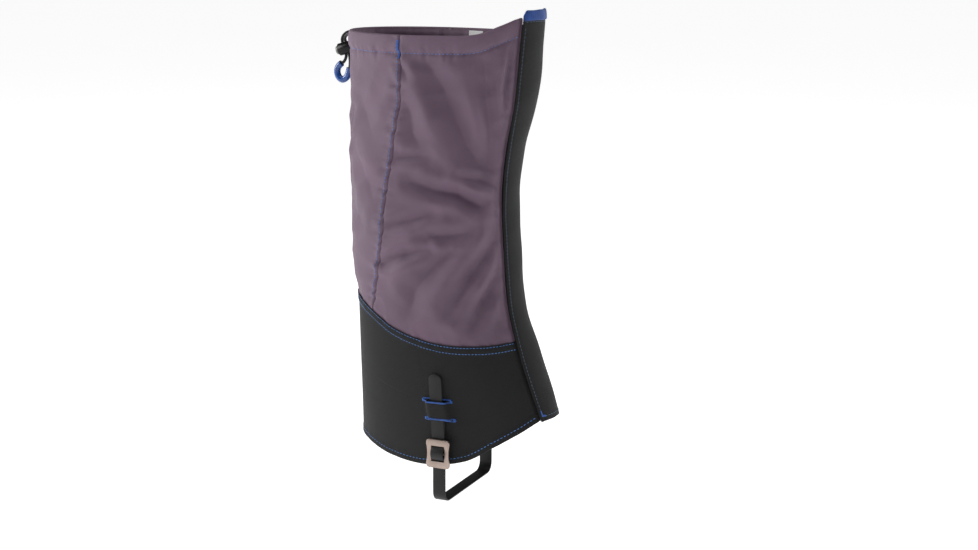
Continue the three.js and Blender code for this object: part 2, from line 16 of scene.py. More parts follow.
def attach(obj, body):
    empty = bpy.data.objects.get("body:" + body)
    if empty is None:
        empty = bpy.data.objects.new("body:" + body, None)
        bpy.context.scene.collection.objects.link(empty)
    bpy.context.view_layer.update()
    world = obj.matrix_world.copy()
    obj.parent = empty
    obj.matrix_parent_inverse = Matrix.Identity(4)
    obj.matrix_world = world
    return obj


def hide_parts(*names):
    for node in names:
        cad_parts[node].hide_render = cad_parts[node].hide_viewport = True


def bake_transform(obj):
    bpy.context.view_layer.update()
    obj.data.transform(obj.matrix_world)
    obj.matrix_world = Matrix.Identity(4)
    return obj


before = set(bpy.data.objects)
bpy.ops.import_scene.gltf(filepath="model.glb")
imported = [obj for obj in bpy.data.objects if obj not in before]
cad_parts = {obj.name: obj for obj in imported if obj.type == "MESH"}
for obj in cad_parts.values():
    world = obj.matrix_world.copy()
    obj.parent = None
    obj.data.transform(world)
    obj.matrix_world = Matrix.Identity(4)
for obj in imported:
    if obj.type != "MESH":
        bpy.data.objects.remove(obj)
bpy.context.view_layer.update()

MM = 0.001

# ---- The sleeve's lines, as in the CAD part ------------------------------------------------

FRONT_LINE = [(30, -129), (70, -116.5), (105, -105), (145, -91), (190, -75.5), (240, -70),
              (300, -67.5), (345, -73), (400, -86.5), (465, -92)]
BACK_LINE = [(30, 92), (190, 95), (235, 100), (465, 102)]
HALF_WIDTH = [(30, 51.8), (85, 53), (130, 54.3), (190, 53), (300, 55), (465, 58)]
NARROWER_FRONT = 0.12
SIDE_SEAM_ANGLE = [(150, 136), (186, 128), (242, 114), (290, 108), (335, 103), (400, 100), (465, 102)]
FLAP_SEAM_ANGLE = [(84, 23), (140, 25), (200, 22), (300, 21.5), (354, 23), (411, 26.5), (467, 25)]
HEM_HEIGHT = [(0, 86), (24, 83), (43, 72), (61, 58), (78, 43), (100, 36), (122, 39), (150, 48), (180, 51)]
ANKLE_SEAM_HEIGHT = [(0, 161), (26, 160), (53, 157), (80, 158), (108, 169), (128, 183), (150, 193),
                     (180, 198)]
RIM_HEIGHT = [(0, 469), (26, 468), (42, 461), (55, 454), (70, 452), (180, 452)]
INNER_EDGE_ANGLE = -16
FLAP_EDGE_ANGLE = -28
CLOSURE_INNER_ANGLE = -20
SIDE_ANGLE = 90.0
MIDDLE_HEIGHT = 250.0
UNDERLAP_EDGE_ANGLE = 27
CHANNEL_DEPTH = 16.5
ROUND_MM = 1.36  # about how much cloth there is to a degree round the sleeve

STRAP_Y = -14.6
BRIDGE_ANGLE = 87.3
BRIDGE_HALF_ANGLE = 7.6
BRIDGE_RISE = 5.5
BRIDGE_BOTTOM = 84
BRIDGE_TOP = 102


def along(pairs, position):
    """A smooth curve through (position, value) pairs."""
    x, y = np.array(pairs, float).T
    slope = np.gradient(y, x)
    slope[1:-1] = (y[2:] - y[:-2]) / (x[2:] - x[:-2])
    at = np.clip(np.asarray(position, float), x[0], x[-1])
    i = np.clip(np.searchsorted(x, at) - 1, 0, len(x) - 2)
    h = x[i + 1] - x[i]
    u = (at - x[i]) / h
    return ((2 * u**3 - 3 * u**2 + 1) * y[i] + (u**3 - 2 * u**2 + u) * h * slope[i]
            + (3 * u**2 - 2 * u**3) * y[i + 1] + (u**3 - u**2) * h * slope[i + 1])


def wrap(angle):
    """An angle brought to -180 to 180 degrees."""
    return (np.asarray(angle, float) + 180) % 360 - 180


def hem(angle):
    return along(HEM_HEIGHT, abs(wrap(angle)))


def ankle_seam(angle):
    return along(ANKLE_SEAM_HEIGHT, abs(wrap(angle)))


def rim(angle):
    return along(RIM_HEIGHT, abs(wrap(angle)))


def side_seam(height):
    return along(SIDE_SEAM_ANGLE, height)


def flap_seam(height):
    return along(FLAP_SEAM_ANGLE, height)


def sleeve(angle, height, out=0.0):
    """Points of the sleeve, in metres."""
    turn = np.radians(angle)
    front = along(FRONT_LINE, height)
    back = along(BACK_LINE, height)
    half = along(HALF_WIDTH, height)
    depth = (back - front) / 2
    tangent_x = half * (NARROWER_FRONT * np.cos(2 * turn) - np.cos(turn))
    tangent_y = depth * np.sin(turn)
    size = np.hypot(tangent_x, tangent_y)
    x = -half * np.sin(turn) * (1 - NARROWER_FRONT * np.cos(turn)) - tangent_y / size * out
    y = (front + back) / 2 - depth * np.cos(turn) + tangent_x / size * out
    return np.stack(np.broadcast_arrays(x, y, height), -1) * MM


def per_degree(angle, height):
    """How many millimetres one degree is at a place on the sleeve."""
    step = sleeve(angle + 0.5, height) - sleeve(angle - 0.5, height)
    return np.linalg.norm(step, axis=-1) / MM


# ---- Camera --------------------------------------------------------------------------------

CAMERA_DISTANCE = 1.700
CAMERA_HEIGHT = 0.573
CAMERA_PITCH = math.radians(11.9)
TOWARDS_LEG = Vector((0.906, 0.423, 0)).normalized()
AIMS_RIGHT_OF_LEG = 0.0375
CAMERA_LENS = 65.1
TO_THE_RIGHT = Vector((TOWARDS_LEG.y, -TOWARDS_LEG.x, 0))


def make_camera():
    data = bpy.data.cameras.new("camera")
    data.lens = CAMERA_LENS
    data.clip_end = 100
    camera = bpy.data.objects.new("camera", data)
    bpy.context.scene.collection.objects.link(camera)
    level = TOWARDS_LEG * math.cos(CAMERA_PITCH) - Vector((0, 0, math.sin(CAMERA_PITCH)))
    up = TO_THE_RIGHT.cross(level)
    forward = (level + TO_THE_RIGHT * (AIMS_RIGHT_OF_LEG / CAMERA_DISTANCE)).normalized()
    right = forward.cross(up)
    turn = Matrix((right, up, -forward)).transposed().to_4x4()
    place = -TOWARDS_LEG * CAMERA_DISTANCE + Vector((0, 0, CAMERA_HEIGHT))
    camera.matrix_world = Matrix.Translation(place) @ turn
    bpy.context.scene.camera = camera


make_camera()

# ---- Materials -----------------------------------------------------------------------------


class Finish:
    """A procedural material: a Principled shader and the nodes that feed it."""

    def __init__(self, name, roughness, metallic=0.0, **sockets):
        self.material = bpy.data.materials.new(name)
        self.material.use_nodes = True
        self.tree = self.material.node_tree
        self.shader = self.tree.nodes["Principled BSDF"]
        self.shader.inputs["Roughness"].default_value = roughness
        self.shader.inputs["Metallic"].default_value = metallic
        for socket, value in sockets.items():
            self.shader.inputs[socket.replace("_", " ")].default_value = value
        self.normal = None

    def node(self, kind, settings=(), **inputs):
        made = self.tree.nodes.new(kind)
        for attribute, value in dict(settings).items():
            setattr(made, attribute, value)
        for socket, value in inputs.items():
            self.feed(made.inputs[socket.replace("_", " ")], value)
        return made

    def feed(self, socket, value):
        if isinstance(value, bpy.types.NodeSocket):
            self.tree.links.new(value, socket)
        else:
            socket.default_value = value

    def math(self, operation, a, b=0.0):
        made = self.node("ShaderNodeMath", {"operation": operation})
        self.feed(made.inputs[0], a)
        self.feed(made.inputs[1], b)
        return made.outputs[0]

    def place(self, output):
        return self.node("ShaderNodeTexCoord").outputs[output]

    def stretched(self, output, scale):
        mapping = self.node("ShaderNodeMapping", Vector=self.place(output), Scale=scale)
        return mapping.outputs["Vector"]

    def noise(self, scale, detail, vector=None):
        vector = vector or self.place("Object")
        return self.node("ShaderNodeTexNoise", Vector=vector, Scale=scale, Detail=detail).outputs["Fac"]

    def colours(self, factor, colour, first, last, low=0.3, high=0.7):
        """Shades of a colour, from first to last times it as the factor goes from low to high."""
        ramp = self.node("ShaderNodeValToRGB", Fac=factor)
        for element, place, share in zip(ramp.color_ramp.elements, (low, high), (first, last)):
            element.position = place
            element.color = (*(channel * share for channel in colour), 1)
        self.feed(self.shader.inputs["Base Color"], ramp.outputs["Color"])

    def roughness_between(self, factor, low, high):
        ranged = self.node("ShaderNodeMapRange", Value=factor, To_Min=low, To_Max=high)
        self.feed(self.shader.inputs["Roughness"], ranged.outputs["Result"])

    def bump(self, height, distance):
        made = self.node("ShaderNodeBump", Height=height, Distance=distance)
        if self.normal is not None:
            self.feed(made.inputs["Normal"], self.normal)
        self.normal = made.outputs["Normal"]
        self.feed(self.shader.inputs["Normal"], self.normal)

    def waves(self, spacing, axis):
        """Even waves across the cloth's length or width, that far apart."""
        return self.node("ShaderNodeTexWave", {"bands_direction": axis}, Vector=self.place("UV"),
                         Scale=math.pi / 10 / spacing).outputs["Fac"]

    def weave(self, yarn, distance):
        """Over-and-under yarns, one yarn wide, laid along the cloth's own length and width."""
        over = self.node("ShaderNodeTexChecker", Vector=self.place("UV"), Scale=1 / (2 * yarn)).outputs["Fac"]
        under = self.math("SUBTRACT", 1.0, over)
        across = self.math("MULTIPLY", self.waves(2 * yarn, "X"), over)
        along_it = self.math("MULTIPLY", self.waves(2 * yarn, "Y"), under)
        self.bump(self.math("ADD", across, along_it), distance)

    def ribs(self, spacing, distance, axis):
        self.bump(self.waves(spacing, axis), distance)


def cloth_finish(name, colour, yarn, roughness, depth, sheen, shine=0.35):
    made = Finish(name, roughness, Sheen_Weight=sheen, Sheen_Roughness=0.4, Specular_IOR_Level=shine)
    patches = made.noise(26.0, 5.0)
    streaks = made.noise(1.0, 2.0, made.stretched("UV", (1500, 90, 1)))
    both = made.math("ADD", made.math("MULTIPLY", patches, 0.85), made.math("MULTIPLY", streaks, 0.15))
    made.colours(both, colour, 0.88, 1.12)
    made.roughness_between(patches, roughness - 0.06, roughness + 0.06)
    made.bump(made.noise(420.0, 3.0), 0.0001)
    made.weave(yarn, depth)
    return made.material


def tape_finish(name, colour, rib, depth, variation=0.2):
    made = Finish(name, 0.75, Sheen_Weight=0.2, Specular_IOR_Level=0.3)
    made.colours(made.noise(160.0, 4.0), colour, 1 - variation, 1 + variation)
    made.ribs(rib, depth, "Y")
    made.ribs(rib * 2.5, depth * 0.4, "X")
    return made.material


def thread_finish(name, colour):
    made = Finish(name, 0.55, Sheen_Weight=0.3, Specular_IOR_Level=0.4)
    made.colours(made.noise(900.0, 2.0), colour, 0.75, 1.25)
    made.bump(made.noise(2600.0, 2.0), 0.00006)
    return made.material


def plastic_finish(name, colour, roughness, grain=0.00004, **sockets):
    made = Finish(name, roughness, **sockets)
    made.colours(made.noise(70.0, 4.0), colour, 0.85, 1.15)
    speckle = made.noise(2200.0, 2.0)
    made.roughness_between(speckle, roughness - 0.08, roughness + 0.08)
    made.bump(speckle, grain)
    return made.material


def metal_finish(name, colour, roughness, brushed):
    made = Finish(name, roughness, metallic=1.0)
    clouds = made.noise(120.0, 5.0)
    made.colours(clouds, colour, 0.88, 1.08)
    scratches = made.noise(1.0, 3.0, made.stretched("Object", brushed))
    made.roughness_between(scratches, roughness - 0.07, roughness + 0.1)
    made.bump(scratches, 0.00002)
    made.bump(clouds, 0.00005)
    return made.material


def hook_finish(name, colour, spacing):
    """Rows of tiny hooks, or a brushed pile when the spacing is very small, with painted highlight on their
    raised tops and painted shade in the gaps between them.
    """
    made = Finish(name, 0.85, Sheen_Weight=0.4, Specular_IOR_Level=0.25)
    spots = made.node("ShaderNodeTexVoronoi", Vector=made.place("UV"), Scale=1 / spacing).outputs["Distance"]
    # Painted highlight and shade: the raised hook tops are coloured lighter and the low gaps between them
    # darker.
    made.colours(spots, colour, 1.5, 0.6, 0.1, 0.7)
    made.bump(made.math("SUBTRACT", 1.0, spots), 0.0006)
    return made.material


def cord_finish(name, colour):
    """A round braid: two sets of strands that cross, with painted highlight on the strands' crowns and
    painted shade in the grooves between them.
    """
    made = Finish(name, 0.7, Sheen_Weight=0.3, Specular_IOR_Level=0.35)
    parts = made.node("ShaderNodeSeparateXYZ", Vector=made.place("UV")).outputs
    along_cord = made.math("MULTIPLY", parts["X"], 900.0)
    strands = []
    for lean in (1, -1):
        mixed = made.math("ADD", along_cord, made.math("MULTIPLY", parts["Y"], 6.0 * lean))
        strands.append(made.math("SINE", made.math("MULTIPLY", mixed, math.pi)))
    braid = made.math("MAXIMUM", *strands)
    # Painted highlight and shade: the strands' raised crowns are coloured lighter and the grooves between
    # them darker.
    made.colours(braid, colour, 0.6, 1.5, 0.2, 0.9)
    made.bump(braid, 0.00015)
    return made.material


PURPLE = cloth_finish("purple_nylon", (0.128, 0.080, 0.120), 0.00045, 0.60, 0.00007, sheen=0.12)
BLACK = cloth_finish("black_pack_cloth", (0.0095, 0.0095, 0.0102), 0.0007, 0.72, 0.00012, sheen=0.05,
                     shine=0.25)
TAPE = tape_finish("black_binding_tape", (0.016, 0.016, 0.018), 0.0012, 0.00012)
BLUE_TAPE = tape_finish("blue_binding_tape", (0.010, 0.048, 0.220), 0.0010, 0.00015)
WHITE = tape_finish("white_label_tape", (0.90, 0.90, 0.89), 0.0008, 0.00003, variation=0.03)
THREAD = thread_finish("blue_topstitch_thread", (0.045, 0.165, 0.470))
BRIGHT_THREAD = thread_finish("blue_buttonhole_thread", (0.009, 0.085, 0.370))
DULL_THREAD = thread_finish("blue_grey_thread", (0.035, 0.075, 0.150))
BLACK_THREAD = thread_finish("black_thread", (0.015, 0.015, 0.016))
HOOKS = hook_finish("hook_tape", (0.016, 0.016, 0.018), 0.0013)
LOOPS = hook_finish("loop_tape", (0.020, 0.020, 0.022), 0.0006)
CORD = cord_finish("black_braided_cord", (0.008, 0.008, 0.0085))
BLUE_TUBE = plastic_finish("blue_soft_tube", (0.008, 0.060, 0.260), 0.26, 0.000003, Coat_Weight=0.3,
                           Coat_Roughness=0.12)
BLACK_PLASTIC = plastic_finish("black_moulded_plastic", (0.0030, 0.0028, 0.0027), 0.30,
                               Specular_IOR_Level=0.18)
GREY_PLASTIC = plastic_finish("grey_moulded_plastic", (0.16, 0.16, 0.155), 0.42)
STRAP = plastic_finish("strap_rubber", (0.0125, 0.0125, 0.013), 0.44, 0.00005, Specular_IOR_Level=0.25)
NICKEL = metal_finish("satin_nickel", (0.345, 0.275, 0.240), 0.40, (60, 900, 60))
STEEL = metal_finish("spring_steel", (0.50, 0.50, 0.51), 0.30, (500, 60, 60))

# ---- Mesh helpers --------------------------------------------------------------------------


def unit(vectors):
    return vectors / np.linalg.norm(vectors, axis=-1, keepdims=True)


def distances(path):
    """How far along a path each of its points is."""
    return np.concatenate([[0], np.cumsum(np.linalg.norm(np.diff(path, axis=0), axis=1))])


def at_distances(at, way, values):
    """What goes with each point of a path, at distances along it."""
    return np.stack([np.interp(at, way, values[:, k]) for k in range(3)], -1)


def smooth(value):
    """Rises smoothly from 0 to 1 as the value does."""
    t = np.clip(value, 0, 1)
    return t * t * (3 - 2 * t)


def bump(distance, width):
    return np.exp(-(distance / width) ** 2)


def ripple(position, wavelength, seed):
    """Uneven waves along a line, from about -1 to 1."""
    random = np.random.default_rng(seed)
    total = 0.0
    for share in (0.72, 1.0, 1.43, 2.1):
        phase = random.uniform(0, 6.28)
        total = total + np.sin(position * 2 * np.pi / (wavelength * share) + phase) * share**0.5
    return total / 3.0


def new_mesh(name, points, faces, material, uv=None):
    mesh = bpy.data.meshes.new(name)
    mesh.from_pydata(np.asarray(points).reshape(-1, 3).tolist(), [], faces)
    mesh.validate()
    if uv is not None:
        layer = mesh.uv_layers.new(name="UVMap")
        loops = np.empty(len(mesh.loops), np.int32)
        mesh.loops.foreach_get("vertex_index", loops)
        layer.data.foreach_set("uv", np.asarray(uv, np.float32).reshape(-1, 2)[loops].ravel())
    mesh.polygons.foreach_set("use_smooth", [True] * len(mesh.polygons))
    mesh.materials.append(material)
    piece = bpy.data.objects.new(name, mesh)
    bpy.context.scene.collection.objects.link(piece)
    return piece


def settle(piece, body, *nodes):
    """Attaches a piece to what carries it, or bakes its place for the peeling flap, and hides the CAD nodes
    it stands for.
    """
    if body == "peeling":
        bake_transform(piece)
    else:
        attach(piece, body)
    if nodes:
        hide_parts(*nodes)
    return piece


def spread(length, step):
    """Shares of a side of that length: close together at its ends, where the cloth's edge is rounded."""
    ends = np.array([0, 0.12, 0.35, 0.7, 1.2, 2.0])
    count = max(2, round((length - 4) / step) + 1)
    middle = np.linspace(ends[-1], length - ends[-1], count)
    return np.concatenate([ends[:-1], middle, length - ends[-2::-1]]) / length


def patch(left, right, bottom, top, step=1.6):
    """Grids of angle and height between two lines of height and two of angle."""
    def value(line, at):
        return line(at) if callable(line) else np.full_like(at, float(line))
    middle, side = np.array([MIDDLE_HEIGHT]), np.array([SIDE_ANGLE])
    high = value(top, side)[0] - value(bottom, side)[0]
    wide = abs(value(right, middle)[0] - value(left, middle)[0]) * ROUND_MM
    across, up = np.meshgrid(spread(wide, step), spread(high, step), indexing="ij")
    height = np.full_like(across, MIDDLE_HEIGHT)
    angle = np.full_like(across, SIDE_ANGLE)
    for _ in range(8):
        angle = value(left, height) * (1 - across) + value(right, height) * across
        height = value(bottom, angle) * (1 - up) + value(top, angle) * up
    return angle, height


def grid_normals(points):
    round_way = np.gradient(points, axis=0)
    up_way = np.gradient(points, axis=1)
    normal = np.cross(up_way, round_way)
    return normal / np.maximum(np.linalg.norm(normal, axis=-1, keepdims=True), 1e-12)


def grid_uv(points):
    """The cloth's own coordinates, in metres: along the first row's way, and up."""
    def lengths(steps, axis):
        size = np.linalg.norm(steps, axis=-1)
        return np.cumsum(np.insert(size, 0, 0, axis=axis), axis=axis)
    return np.stack([lengths(np.diff(points, axis=0), 0), lengths(np.diff(points, axis=1), 1)], -1)


# As shares of a cloth's thickness: how far in its edge is rounded, and how thick the edge itself is.
EDGE_ROUNDING = 0.6
EDGE_THINNEST = 0.12


def cloth(name, points, thickness, material, keep=None):
    """A sheet with rounded edges about a grid of points. keep marks the grid's faces that aren't cut out."""
    rows = points.shape[1]
    total = points.shape[0] * rows
    normals = grid_normals(points)
    uv = grid_uv(points)
    kept = np.ones((points.shape[0] - 1, rows - 1), bool) if keep is None else keep
    index = np.arange(total).reshape(points.shape[:2])
    a, b, c, d = index[:-1, :-1], index[:-1, 1:], index[1:, 1:], index[1:, :-1]
    quads = np.stack([a, b, c, d], -1)[kept]
    steps = np.concatenate([quads[:, [0, 1]], quads[:, [1, 2]], quads[:, [2, 3]], quads[:, [3, 0]]])
    keys = np.sort(steps, 1)
    _, first, counts = np.unique(keys[:, 0] * total + keys[:, 1], return_index=True, return_counts=True)
    border = steps[first[counts == 1]]
    distance = np.full(points.shape[:2], np.inf)
    for side in (points[:1], points[-1:], points[:, :1], points[:, -1:]):
        distance = np.minimum(distance, np.linalg.norm(points - side, axis=-1))
    if keep is not None:
        outline = np.concatenate([index[0], index[-1], index[:, 0], index[:, -1]])
        distance.reshape(-1)[np.setdiff1d(border, outline)] = 0
    rounding = np.clip(distance / (thickness * MM * EDGE_ROUNDING), 0, 1)
    half = thickness * MM / 2 * np.maximum(np.sqrt(1 - (1 - rounding) ** 2), EDGE_THINNEST)
    flat = points.reshape(-1, 3)
    offset = normals.reshape(-1, 3) * half.reshape(-1, 1)
    shell = np.concatenate([flat + offset, flat - offset])
    inside = quads[:, ::-1] + total
    walls = np.stack([border[:, 1], border[:, 0], border[:, 0] + total, border[:, 1] + total], 1)
    faces = np.concatenate([quads, inside, walls])
    used = np.unique(faces)
    fresh = np.zeros(total * 2, int)
    fresh[used] = np.arange(len(used))
    both = np.concatenate([uv.reshape(-1, 2)] * 2)
    return new_mesh(name, shell[used], fresh[faces].tolist(), material, both[used])


def panel(name, edges, out, thickness, material, *nodes, body="sleeve", step=1.6):
    """Cloth between two lines of angle and two of height. out says how far out its middle lies."""
    angle, height = patch(*edges, step)
    points = sleeve(angle, height, out(angle, height) if callable(out) else out)
    return settle(cloth(name, points, thickness, material), body, *nodes)


# Where the points of one short thread are, as shares of its length.
THREAD_POINTS = np.array([-0.5, -0.3, 0, 0.3, 0.5])


def threads(name, stations, normals, radius, material):
    """Short lengths of thread: stations is (how many, points in each, 3), with a normal at every point."""
    shape = np.array([0.4, 0.9, 1.0, 0.9, 0.4])
    lift = np.array([-0.9, 0.15, 0.5, 0.15, -0.9])
    sides = 6
    tangent = unit(np.gradient(stations, axis=1))
    across = unit(np.cross(tangent, normals))
    up = np.cross(across, tangent)
    turn = np.arange(sides) * 2 * np.pi / sides
    ring = (across[:, :, None] * np.cos(turn)[:, None] + up[:, :, None] * np.sin(turn)[:, None])
    centre = stations + up * (lift * radius * MM)[None, :, None]
    points = centre[:, :, None] + ring * (shape * radius * MM)[None, :, None, None]
    count, rings = stations.shape[:2]
    index = np.arange(count * rings * sides).reshape(count, rings, sides)
    turned = np.roll(index, -1, axis=2)
    walls = np.stack([index[:, :-1], turned[:, :-1], turned[:, 1:], index[:, 1:]], -1).reshape(-1, 4)
    caps = np.concatenate([index[:, 0, ::-1], index[:, -1]])
    return new_mesh(name, points, walls.tolist() + caps.tolist(), material)


def stitches(name, line, normals, material, length=2.7, gap=0.9, radius=0.36):
    """A row of running stitches along a line of points in metres."""
    way = distances(line)
    pitch = (length + gap) * MM
    centres = np.arange(pitch / 2, way[-1] - pitch / 2, pitch)
    at = centres[:, None] + THREAD_POINTS * length * MM
    return threads(name, at_distances(at, way, line), at_distances(at, way, normals), radius, material)


def surface_line(angle, height, face):
    """Points and normals along a line on a face of the sleeve."""
    out = face(angle, height)
    points = sleeve(angle, height, out)
    return points, unit(sleeve(angle, height, out + 1) - points)


def seam_stitches(name, line, face, material=THREAD, body="sleeve", **sizes):
    """Running stitches along a line of (angles, heights) on a face of the sleeve."""
    settle(stitches(name, *surface_line(*line, face), material, **sizes), body)


def bars(name, centres, face, reach, upright, material, *nodes, radius=0.32):
    """Buttonhole stitches: short threads side by side, across a line of (angles, heights)."""
    angle, height = np.broadcast_arrays(*centres)
    angles, heights = angle[:, None] + 0 * THREAD_POINTS, height[:, None] + 0 * THREAD_POINTS
    if upright:
        heights = heights + THREAD_POINTS * reach
    else:
        angles = angles + THREAD_POINTS * reach / ROUND_MM
    out = face(angle, height)[:, None] + 0 * THREAD_POINTS
    points = sleeve(angles, heights, out)
    normals = sleeve(angles, heights, out + 1) - points
    settle(threads(name, points, normals / MM, radius, material), "sleeve", *nodes)


def level_line(start, end, height_of, count=400):
    angle = np.linspace(start, end, count)
    return angle, height_of(angle)


def rising_line(bottom, top, angle_of, offset=0.0, count=400):
    """A line up the sleeve, that many millimetres round from an angle or from a line of angles."""
    height = np.linspace(bottom, top, count)
    angle = angle_of(height) if callable(angle_of) else np.full_like(height, angle_of)
    return angle + offset / per_degree(angle, height), height


def smooth_path(points, steps=8):
    """The centripetal curve through points that the CAD part's tubes follow."""
    p = np.array(points, float)
    p = np.concatenate([[2 * p[0] - p[1]], p, [2 * p[-1] - p[-2]]])
    gaps = np.maximum(np.linalg.norm(np.diff(p, axis=0), axis=1) ** 0.5, 1e-6)
    made = []
    for i in range(1, len(p) - 2):
        d0, d1, d2 = gaps[i - 1], gaps[i], gaps[i + 1]
        t1 = ((p[i] - p[i - 1]) / d0 - (p[i + 1] - p[i - 1]) / (d0 + d1) + (p[i + 1] - p[i]) / d1) * d1
        t2 = ((p[i + 1] - p[i]) / d1 - (p[i + 2] - p[i]) / (d1 + d2) + (p[i + 2] - p[i + 1]) / d2) * d1
        for u in np.arange(steps) / steps:
            made.append(p[i] + t1 * u + (-3 * p[i] + 3 * p[i + 1] - 2 * t1 - t2) * u**2
                        + (2 * p[i] - 2 * p[i + 1] + t1 + t2) * u**3)
    return np.array(made + [p[-2]])


def path_length(points):
    return float(np.linalg.norm(np.diff(points, axis=0), axis=1).sum())


def carried_frames(path):
    """A normal and a cross direction at each point, carried along without twisting."""
    tangent = unit(np.gradient(path, axis=0))
    normal = np.cross(tangent[0], [0.3, 0.2, 0.93])
    normals = []
    for t in tangent:
        normal = unit(normal - t * (normal @ t))
        normals.append(normal)
    normals = np.array(normals)
    return tangent, normals, np.cross(tangent, normals)


def turned_along(name, path, stations, material, sides, closed=False):
    """A round body along a path: stations are (distance along, radius) in millimetres."""
    tangent, normal, across = carried_frames(path)
    way = distances(path)
    turn = np.linspace(0, 2 * np.pi, sides + 1)
    points, uv = [], []
    for s, radius in stations:
        s = s * MM
        n, b = unit(at_distances(s, way, normal)), unit(at_distances(s, way, across))
        ring = radius * MM * (np.cos(turn)[:, None] * n + np.sin(turn)[:, None] * b)
        points.append(at_distances(s, way, path) + ring)
        uv.append(np.stack([np.full(sides + 1, s), turn / (2 * np.pi)], -1))
    points = np.array(points)
    index = np.arange(points.shape[0] * (sides + 1)).reshape(points.shape[:2])
    after = np.roll(index, -1, axis=0) if closed else index[1:]
    before = index if closed else index[:-1]
    quads = np.stack([before[:, :-1], before[:, 1:], after[:, 1:], after[:, :-1]], -1)
    faces = quads.reshape(-1, 4).tolist()
    if not closed:
        faces += [index[0, :-1][::-1].tolist(), index[-1, :-1].tolist()]
    return weld(new_mesh(name, points, faces, material, np.array(uv)))


def weld(piece, distance=1e-7):
    """Joins points of a mesh that lie together, and turns its faces outwards."""
    made = bmesh.new()
    made.from_mesh(piece.data)
    bmesh.ops.remove_doubles(made, verts=made.verts, dist=distance)
    bmesh.ops.recalc_face_normals(made, faces=made.faces)
    made.to_mesh(piece.data)
    made.free()
    return piece


def refined(node, name, material, bevel, body, segments=3):
    """The CAD node's own shape with its edges rounded."""
    piece = bpy.data.objects.new(name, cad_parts[node].data.copy())
    bpy.context.scene.collection.objects.link(piece)
    piece.data.materials.clear()
    piece.data.materials.append(material)
    weld(piece, 1e-6)
    rounding = piece.modifiers.new("bevel", "BEVEL")
    rounding.width = bevel * MM
    rounding.segments = segments
    rounding.limit_method = "ANGLE"
    rounding.angle_limit = math.radians(35)
    rounding.harden_normals = True
    bpy.context.view_layer.update()
    final = bpy.data.meshes.new_from_object(piece.evaluated_get(bpy.context.evaluated_depsgraph_get()))
    piece.modifiers.clear()
    piece.data = final
    final.polygons.foreach_set("use_smooth", [True] * len(final.polygons))
    return settle(piece, body, node)


def webbing(name, path, across, width, thickness, material, tips=(0, 0)):
    """A strap along a path in millimetres.

    across is the direction of its width, and tips are how long its rounded ends are.
    """
    path = np.array(path, float)
    across = unit(np.array(across, float))
    way = distances(path)
    closer = np.linspace(0, 1, 9) ** 2
    at = np.concatenate([np.arange(0, way[-1], 0.9), closer * tips[0], way[-1] - closer * tips[1]])
    at = np.unique(at)
    centre = at_distances(at, way, path)
    normal = unit(np.cross(unit(np.gradient(centre, axis=0)), across))
    half = np.full(len(at), width / 2)
    for tip, from_end in zip(tips, (at, way[-1] - at)):
        if tip:
            half *= np.sqrt(np.clip(1 - (1 - np.clip(from_end / tip, 0, 1)) ** 2, 0.02, 1))
    corner = thickness * 0.42
    outline = []
    for quarter, (sx, sy) in enumerate(((1, 1), (-1, 1), (-1, -1), (1, -1))):
        for t in np.radians([0, 30, 60, 90]) + quarter * np.pi / 2:
            outline.append((sx, sy, np.cos(t) * corner, np.sin(t) * corner))
    rings, uv = [], []
    for c, n, h, s in zip(centre, normal, half, at):
        ring = [c + across * (sx * max(h - corner, 0.05) + dx) + n * (sy * (thickness / 2 - corner) + dy)
                for sx, sy, dx, dy in outline]
        rings.append(ring)
        uv.append([(s * MM, (sx * h + dx) * MM) for sx, _, dx, _ in outline])
    points = np.array(rings) * MM
    size = len(outline)
    index = np.arange(points.shape[0] * size).reshape(points.shape[:2])
    turned = np.roll(index, -1, axis=1)
    quads = np.stack([index[:-1], turned[:-1], turned[1:], index[1:]], -1).reshape(-1, 4).tolist()
    caps = [index[0, ::-1].tolist(), index[-1].tolist()]
    return weld(new_mesh(name, points, quads + caps, material, np.array(uv)))


# ---- Drawcord, its tube and its lock -------------------------------------------------------

LOCK_START = np.array([0, 104.4, 435])
LOCK_TILT = math.radians(16)
LOCK_AXIS = np.array([0, math.cos(LOCK_TILT), -math.sin(LOCK_TILT)])
LOCK_UP = np.array([0, math.sin(LOCK_TILT), math.cos(LOCK_TILT)])
CORD_DIAMETER = 3.0
CORD_HEIGHT = 446
TUBE_SPAN = (0.37, 0.62)


def lock_point(distance, height):
    return tuple(LOCK_START + LOCK_AXIS * distance + LOCK_UP * height)


CORD_ROUTE = [
    (-14, 96.9, 446.0), (-10, 98.6, 446.2), (-6.4, 102.0, 446.6), (-3.6, 106.6, 447.0), (-1.3, 111.0, 445.4),
    lock_point(7, 9.3), lock_point(7, 4), lock_point(7, -4), lock_point(7, -8.4),
    (0, 108.3, 418.6), (0, 109.3, 410.6), (0, 112.3, 403.9), (0, 117.0, 401.4), (0, 121.0, 403.9),
    (0, 122.6, 408.8), (0, 121.6, 413.4), (0, 118.4, 416.8), (0, 114.7, 419.6),
    lock_point(10.5, -7.4), lock_point(10.5, -3), lock_point(10.5, 4), lock_point(10.5, 8.6),
    (1.4, 116.0, 444.6), (3.2, 112.0, 448.0), (4.8, 107.0, 448.0), (6.8, 102.0, 447.0), (10, 98.6, 446.2),
    (14, 96.9, 446.0),
]


def cord_piece(name, path):
    whole = path_length(path) / MM
    radius = CORD_DIAMETER / 2
    stations = [(0, radius * 0.6), (0.3, radius)]
    stations += [(s, radius) for s in np.arange(1.0, whole - 0.6, 1.0)]
    stations += [(whole - 0.3, radius), (whole, radius * 0.6)]
    return turned_along(name, path, stations, CORD, 14)


